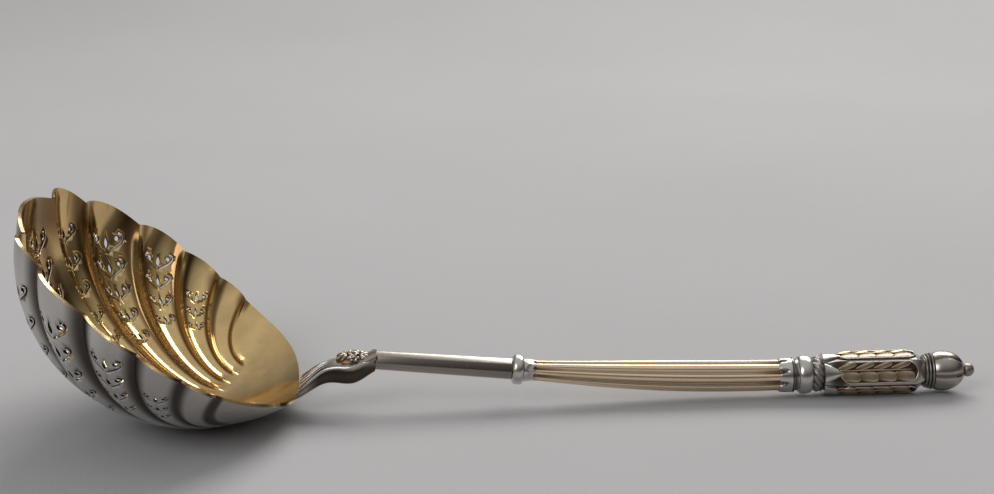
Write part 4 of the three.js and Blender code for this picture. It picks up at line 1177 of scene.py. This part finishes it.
class SPOON_OT_reeds(bpy.types.Operator):
    """Builds the gilt reeded stem on its gentle bend, and the scalloped cup that takes its end"""

    bl_idname = "spoon.reeds"
    bl_label = "Reeded stem"

    def execute(self, context):
        sizes = context.scene.spoon_sizes

        def reeds_at(angle):
            return math.cos(sizes.flutes * (angle - REED_TURN))

        def place(turn, share):
            angle = 2 * math.pi * turn
            wave = 0.5 + 0.5 * reeds_at(angle)
            radius = reed_radius(share) * (1 - sizes.flute_depth * wave**2.2)
            distance = REED_START + SEAT_LENGTH * 0.5 + share * (REED_LENGTH - SEAT_LENGTH)
            return along_handle(distance) @ round_point(angle, radius, 0)

        # Painted shade in the channels between the reeds, deepest near the ends.
        def channel(point):
            angle, share = around_handle(point, REED_START, REED_LENGTH)
            wave = 0.5 + 0.5 * reeds_at(angle)
            near_ends = smoothstep(share, 0.16, 0.0) + smoothstep(share, 0.86, 0.98)
            return smoothstep(wave, 0.6 - 0.3 * near_ends, 0.95) * lerp(0.45, 1.0, near_ends)

        dress(
            "reeded_stem", sleeve(24 * sizes.flutes, 96, place), "stem_gilding", "gilt",
            "fluted_stem", "stem_dowel", "grip_dowel", sharp=60, groove=channel,
        )

        def cup_place(turn, share):
            angle = 2 * math.pi * turn
            notch = max(0.0, reeds_at(angle)) ** 1.5
            lift = REED_END_RADIUS + 0.1 + 0.16 * smoothstep(share, 0.0, 0.12) + 0.12 * share
            lift -= 0.22 * notch * (1 - smoothstep(share, 0.15, 0.75))
            return round_point(angle, lift, lerp(0.9 * notch, CUP_LENGTH, share))

        # Painted shade in the pits at the ends of the channels.
        def pit(point):
            angle, share = around_handle(point, CUP_START, CUP_LENGTH)
            return max(0.0, reeds_at(angle)) * smoothstep(share, 0.8, 0.5)

        dress(
            "scalloped_cup", sleeve(192, 16, cup_place), "polished_silver", "silver", "upper_cup",
            sharp=40, matrix=along_handle(CUP_START), groove=pit,
        )
        return {"FINISHED"}


class SPOON_OT_rings(bpy.types.Operator):
    """Builds the broad ring and the twisted ring below the capital"""

    bl_idname = "spoon.rings"
    bl_label = "Upper rings"

    def execute(self, context):
        sizes = context.scene.spoon_sizes
        lip = TWIST_RADIUS - 0.1
        crown = bead(lip - 0.25, GRIP_RING_RADIUS, 1.25, GRIP_RING_WIDTH - 0.1, 22)
        neck = [
            (lip - 0.15, 0.05), (lip + 0.05, 0.15), (lip + 0.05, 0.4), (lip - 0.2, 0.6), (lip - 0.3, 0.95),
        ]
        ring = turned(cap_outline([*neck, *crown, (lip - 0.3, GRIP_RING_WIDTH - 0.05)]), 96)
        neck_end = axis_at(GRIP_RING_START + 1.1)[0].x

        # Painted shade in the ring's hollow neck.
        def neck_groove(point):
            return smoothstep(point.x, neck_end + 0.3, neck_end - 0.2) * 0.8

        dress(
            "grip_ring", ring, "polished_silver", "silver", "upper_ring",
            sharp=40, matrix=along_handle(GRIP_RING_START), groove=neck_groove,
        )

        def twist(turn, share):
            angle = 2 * math.pi * turn
            strand = abs(math.cos(sizes.strands / 2 * (angle + math.radians(38) * share)))
            crown = TWIST_RADIUS * (0.88 + 0.12 * math.sin(math.pi * share))
            return round_point(angle, crown - 0.34 * (1 - strand) ** 1.3, TWIST_WIDTH * share)

        dress(
            "twisted_ring", sleeve(216, 18, twist), "old_silver", "dark_silver", "rope_ring",
            sharp=60, matrix=along_handle(TWIST_START),
        )
        return {"FINISHED"}


class SPOON_OT_capital(bpy.types.Operator):
    """Builds the five-sided capital, its pointed leaves and the wheat ear on each side"""

    bl_idname = "spoon.capital"
    bl_label = "Capital"

    def execute(self, context):
        sizes = context.scene.spoon_sizes
        end = CAPITAL_LENGTH - SHOULDER_LENGTH
        arch_middle = end - PANEL_HALF

        def body_place(turn, share):
            radius = flow(CAPITAL_PROFILE, share)
            return round_point(math.pi / 2 + (2 * turn + 1 / CAPITAL_SIDES) * math.pi, radius.x, radius.y)

        body = sleeve(CAPITAL_SIDES, 28, body_place)
        arrises = [edge for edge in body.edges if abs(edge.verts[0].co.y - edge.verts[1].co.y) > 0.01]
        bmesh.ops.bevel(body, geom=arrises, offset=0.14, segments=2, profile=0.5, affect="EDGES", material=-1)
        borders = bmesh.new()
        grounds = bmesh.new()
        kernels = bmesh.new()
        dots = bmesh.new()
        outline = arch_path(PANEL_HALF - BORDER_INSET, BORDER_FOOT, arch_middle)
        start = LEAF_LENGTH * 0.62
        pitch = (end - 1.5 - start) / (sizes.kernel_pairs + 0.1)
        tip_up = Matrix.Rotation(math.radians(6), 4, "X")
        for side in range(CAPITAL_SIDES):
            angle = math.pi / 2 + side * 2 * math.pi / CAPITAL_SIDES
            onto = Matrix.Rotation(math.pi / 2 - angle, 4, "Y") @ Matrix.Translation((0, 0, CAPITAL_INRADIUS))
            add_mesh(borders, tube(outline, tapered(0.17, 0.4, 0.08, 0.92)), onto)
            add_mesh(borders, leaf_relief(), onto)
            add_mesh(grounds, arch_plate(PANEL_HALF, PANEL_FOOT, arch_middle), onto)
            for pair in range(sizes.kernel_pairs):
                for hand, lead, slant in ((-1, 0, 20), (1, 0.2, -7)):
                    room = PANEL_HALF - hand * EAR_SHIFT - 0.5
                    forward = start + (pair + 0.5 + lead) * pitch
                    spot = Matrix.Translation((EAR_SHIFT + hand * (room / 2 + 0.1), forward, 0.2))
                    turned_out = Matrix.Rotation(math.radians(slant), 4, "Z")
                    grain = pebble(pitch * 1.14, room, 0.36, 0.68, 4)
                    add_mesh(kernels, grain, onto @ spot @ turned_out @ tip_up)
            rib = [Vector((EAR_SHIFT, lerp(start, end - 1.6, step / 12), 0.42)) for step in range(13)]
            add_mesh(kernels, tube(rib, tapered(0.17, 0.5, 0.1, 0.9)), onto)
            add_mesh(dots, pebble(0.7, 0.7, 0.2), onto @ Matrix.Translation((EAR_SHIFT, end - 1.0, 0.3)))
        place = along_handle(CAPITAL_START)
        dress(
            "ear_capital", body, "polished_silver", "silver", "capital",
            sharp=30, matrix=place, groove=capital_groove,
        )
        dress("capital_borders", borders, "polished_silver", "silver", sharp=50, matrix=place)
        dress("ear_grounds", grounds, "ear_shade", "dark_silver", sharp=30, matrix=place)
        dress("ear_kernels", kernels, "ear_gilding", "gilt", sharp=60, matrix=place, groove=kernel_groove)
        # The near-black dot at the head of each ear stands for a small pit: painted shade.
        dress("ear_tips", dots, "dark_pit", "dark_silver", sharp=60, matrix=place)
        return {"FINISHED"}


class SPOON_OT_finial(bpy.types.Operator):
    """Builds the beaded neck, the six-petalled bud and the small ball at the tip"""

    bl_idname = "spoon.finial"
    bl_label = "Finial"

    def execute(self, context):
        neck = [(NECK_RADIUS * 0.8, 0.03)]
        for low, high, crown in NECK_BEADS:
            neck += bead(NECK_RADIUS * 0.82, NECK_RADIUS * crown, low, high, 8)
        dress(
            "neck_beads", turned(cap_outline(neck), 96), "old_silver", "dark_silver", "neck_ring",
            sharp=40, matrix=along_handle(NECK_START),
        )

        def petal_place(turn, share):
            angle = 2 * math.pi * turn
            rise = 1 - 0.12 * (max(0.0, 0.3 - share) / 0.3) ** 2
            fall = math.sqrt(1 - 0.8 * (max(0.0, share - 0.3) / 0.7) ** 2.4)
            seam = abs(math.cos(BUD_PETALS * angle / 2)) ** 10
            arch = smoothstep(share, 0.5, 0.86)
            radius = BUD_RADIUS * rise * fall * (1 - 0.075 * seam * (0.35 + arch))
            return round_point(angle, radius, BUD_LENGTH * share)

        dress(
            "petal_bud", sleeve(192, 40, petal_place), "worn_silver", "silver", "bud",
            sharp=40, matrix=along_handle(BUD_START), groove=bud_groove,
        )

        tip = turned(cap_outline([*BALL_NECK, *bead(0.0, BALL_RADIUS, -BALL_RADIUS, BALL_RADIUS, 20)]), 64)
        dress(
            "tip_ball", tip, "old_silver", "dark_silver", "finial_pin",
            sharp=50, matrix=along_handle(BALL_CENTRE),
        )
        return {"FINISHED"}


def cloth_material(colour):
    """Pale woven cloth, a little uneven in tone, with painted shade that darkens it with its distance behind
    the spoon.
    """
    material = bpy.data.materials.new("pale_cloth")
    material.use_nodes = True
    tree = material.node_tree
    shader = tree.nodes["Principled BSDF"]
    shader.inputs["Roughness"].default_value = 0.9
    place = node(tree, "ShaderNodeTexCoord").outputs["Object"]
    weave = node(tree, "ShaderNodeTexNoise", Vector=place, Scale=1400.0, Detail=2.0)
    soft = node(tree, "ShaderNodeTexNoise", Vector=place, Scale=9.0, Detail=3.0)
    low = [channel * 0.94 for channel in colour]
    high = [min(1, channel * 1.06) for channel in colour]
    tone = mixed(tree, low, high, soft.outputs["Fac"])
    # Painted shade: the cloth darkens with its distance behind the spoon.
    depth = node(tree, "ShaderNodeSeparateXYZ", Vector=place)
    fading = node(
        tree, "ShaderNodeMapRange", interpolation_type="SMOOTHSTEP", Value=depth.outputs["Y"],
        From_Min=0.1, From_Max=1.1, To_Min=1.0, To_Max=0.6,
    )
    shaded = node(tree, "ShaderNodeVectorMath", operation="SCALE", Scale=fading.outputs["Result"])
    tree.links.new(tone, shaded.inputs[0])
    tree.links.new(shaded.outputs[0], shader.inputs["Base Color"])
    bump(tree, shader, weave.outputs["Fac"], 0.3, 0.0002)
    return material


def add_lamp(name, place, size, energy, colour):
    """A rectangular lamp that looks at the spoon."""
    data = bpy.data.lights.new(name, "AREA")
    data.shape = "RECTANGLE"
    data.size, data.size_y = size
    data.energy = energy
    data.color = colour
    held = bpy.data.objects.new(name, data)
    aim = (Vector(LAMP_TARGET) - Vector(place)).to_track_quat("-Z", "Y").to_matrix().to_4x4()
    held.matrix_world = Matrix.Translation(place) @ aim
    bpy.context.scene.collection.objects.link(held)


def studio_world():
    """A room that is dim at the level of the spoon and pale above it."""
    world = bpy.data.worlds.new("studio")
    world.use_nodes = True
    tree = world.node_tree
    background = tree.nodes["Background"]
    place = node(tree, "ShaderNodeTexCoord").outputs["Generated"]
    split = node(tree, "ShaderNodeSeparateXYZ", Vector=place)
    height = node(tree, "ShaderNodeMapRange", Value=split.outputs["Z"], From_Min=-1.0)
    ramp = node(tree, "ShaderNodeValToRGB", Fac=height.outputs["Result"])
    floor, ceiling = ramp.color_ramp.elements
    floor.position = 0.5
    floor.color = ROOM_FLOOR
    ceiling.position = 0.95
    ceiling.color = ROOM_CEILING
    ramp.color_ramp.elements.new(0.62).color = ROOM_WALLS
    tree.links.new(ramp.outputs["Color"], background.inputs["Color"])
    background.inputs["Strength"].default_value = ROOM_STRENGTH
    return world


def photo_camera():
    """A camera at the photograph's view."""
    turn = math.radians(VIEW_AZIMUTH)
    lift = math.radians(VIEW_ELEVATION)
    roll = math.radians(VIEW_ROLL)
    back = Vector((math.sin(turn) * math.cos(lift), -math.cos(turn) * math.cos(lift), math.sin(lift)))
    right = (-back).cross(Vector((0, 0, 1))).normalized()
    up = right.cross(-back)
    rolled_right = right * math.cos(roll) + up * math.sin(roll)
    rolled_up = up * math.cos(roll) - right * math.sin(roll)
    camera = bpy.data.cameras.new("camera")
    camera.sensor_width = 36.0
    camera.sensor_fit = "HORIZONTAL"
    camera.lens = camera.sensor_width / 2 / math.tan(math.radians(VIEW_ANGLE) / 2)
    camera.clip_start = 0.01
    camera.clip_end = 20
    held = bpy.data.objects.new("camera", camera)
    matrix = Matrix((rolled_right, rolled_up, back)).transposed().to_4x4()
    matrix.translation = (Vector(VIEW_TARGET) + back * VIEW_DISTANCE) * MM
    held.matrix_world = matrix
    return held


class SPOON_OT_stage(bpy.types.Operator):
    """Builds the cloth, the lamps, the surroundings and the camera"""

    bl_idname = "spoon.stage"
    bl_label = "Stage"

    def execute(self, context):
        scene = context.scene
        bm = bmesh.new()
        bmesh.ops.create_grid(bm, x_segments=200, y_segments=160, size=1.0)
        for vert in bm.verts:
            x = vert.co.x * CLOTH_HALF_LENGTH
            y = vert.co.y * CLOTH_HALF_WIDTH + CLOTH_CENTRE
            rise = CLOTH_RISE * smoothstep(y, 0.35, 1.5) ** 1.2
            vert.co = Vector((x, y, rise - CLOTH_DROP))
        mesh = bpy.data.meshes.new("cloth")
        bm.to_mesh(mesh)
        bm.free()
        for polygon in mesh.polygons:
            polygon.use_smooth = True
        cloth = bpy.data.objects.new("cloth", mesh)
        scene.collection.objects.link(cloth)
        mesh.materials.append(cloth_material(tuple(scene.spoon_finish.cloth)))

        add_lamp("window", WINDOW_PLACE, WINDOW_SIZE, WINDOW_POWER, WINDOW_COLOUR)
        add_lamp("front_card", CARD_PLACE, CARD_SIZE, CARD_POWER, CARD_COLOUR)
        scene.world = studio_world()
        camera = photo_camera()
        scene.collection.objects.link(camera)
        scene.camera = camera
        scene.view_settings.view_transform = "Standard"
        return {"FINISHED"}


class SPOON_PT_pieces(bpy.types.Panel):
    """Lists the spoon's pieces in the order they are made"""

    bl_label = "Sifter Spoon"
    bl_space_type = "VIEW_3D"
    bl_region_type = "UI"
    bl_category = "Spoon"

    def draw(self, context):
        for step in STEPS:
            self.layout.operator(step.bl_idname)


STEPS = (
    SPOON_OT_bowl,
    SPOON_OT_bracket,
    SPOON_OT_flowers,
    SPOON_OT_stem,
    SPOON_OT_reeds,
    SPOON_OT_rings,
    SPOON_OT_capital,
    SPOON_OT_finial,
    SPOON_OT_stage,
)
CLASSES = (SpoonSizes, SpoonFinish, *STEPS, SPOON_PT_pieces)


def register():
    for item in CLASSES:
        bpy.utils.register_class(item)
    bpy.types.Scene.spoon_sizes = PointerProperty(type=SpoonSizes)
    bpy.types.Scene.spoon_finish = PointerProperty(type=SpoonFinish)


def unregister():
    del bpy.types.Scene.spoon_finish
    del bpy.types.Scene.spoon_sizes
    for item in reversed(CLASSES):
        bpy.utils.unregister_class(item)


def main():
    register()
    for step in STEPS:
        group, name = step.bl_idname.split(".")
        getattr(getattr(bpy.ops, group), name)()


if __name__ == "__main__":
    main()
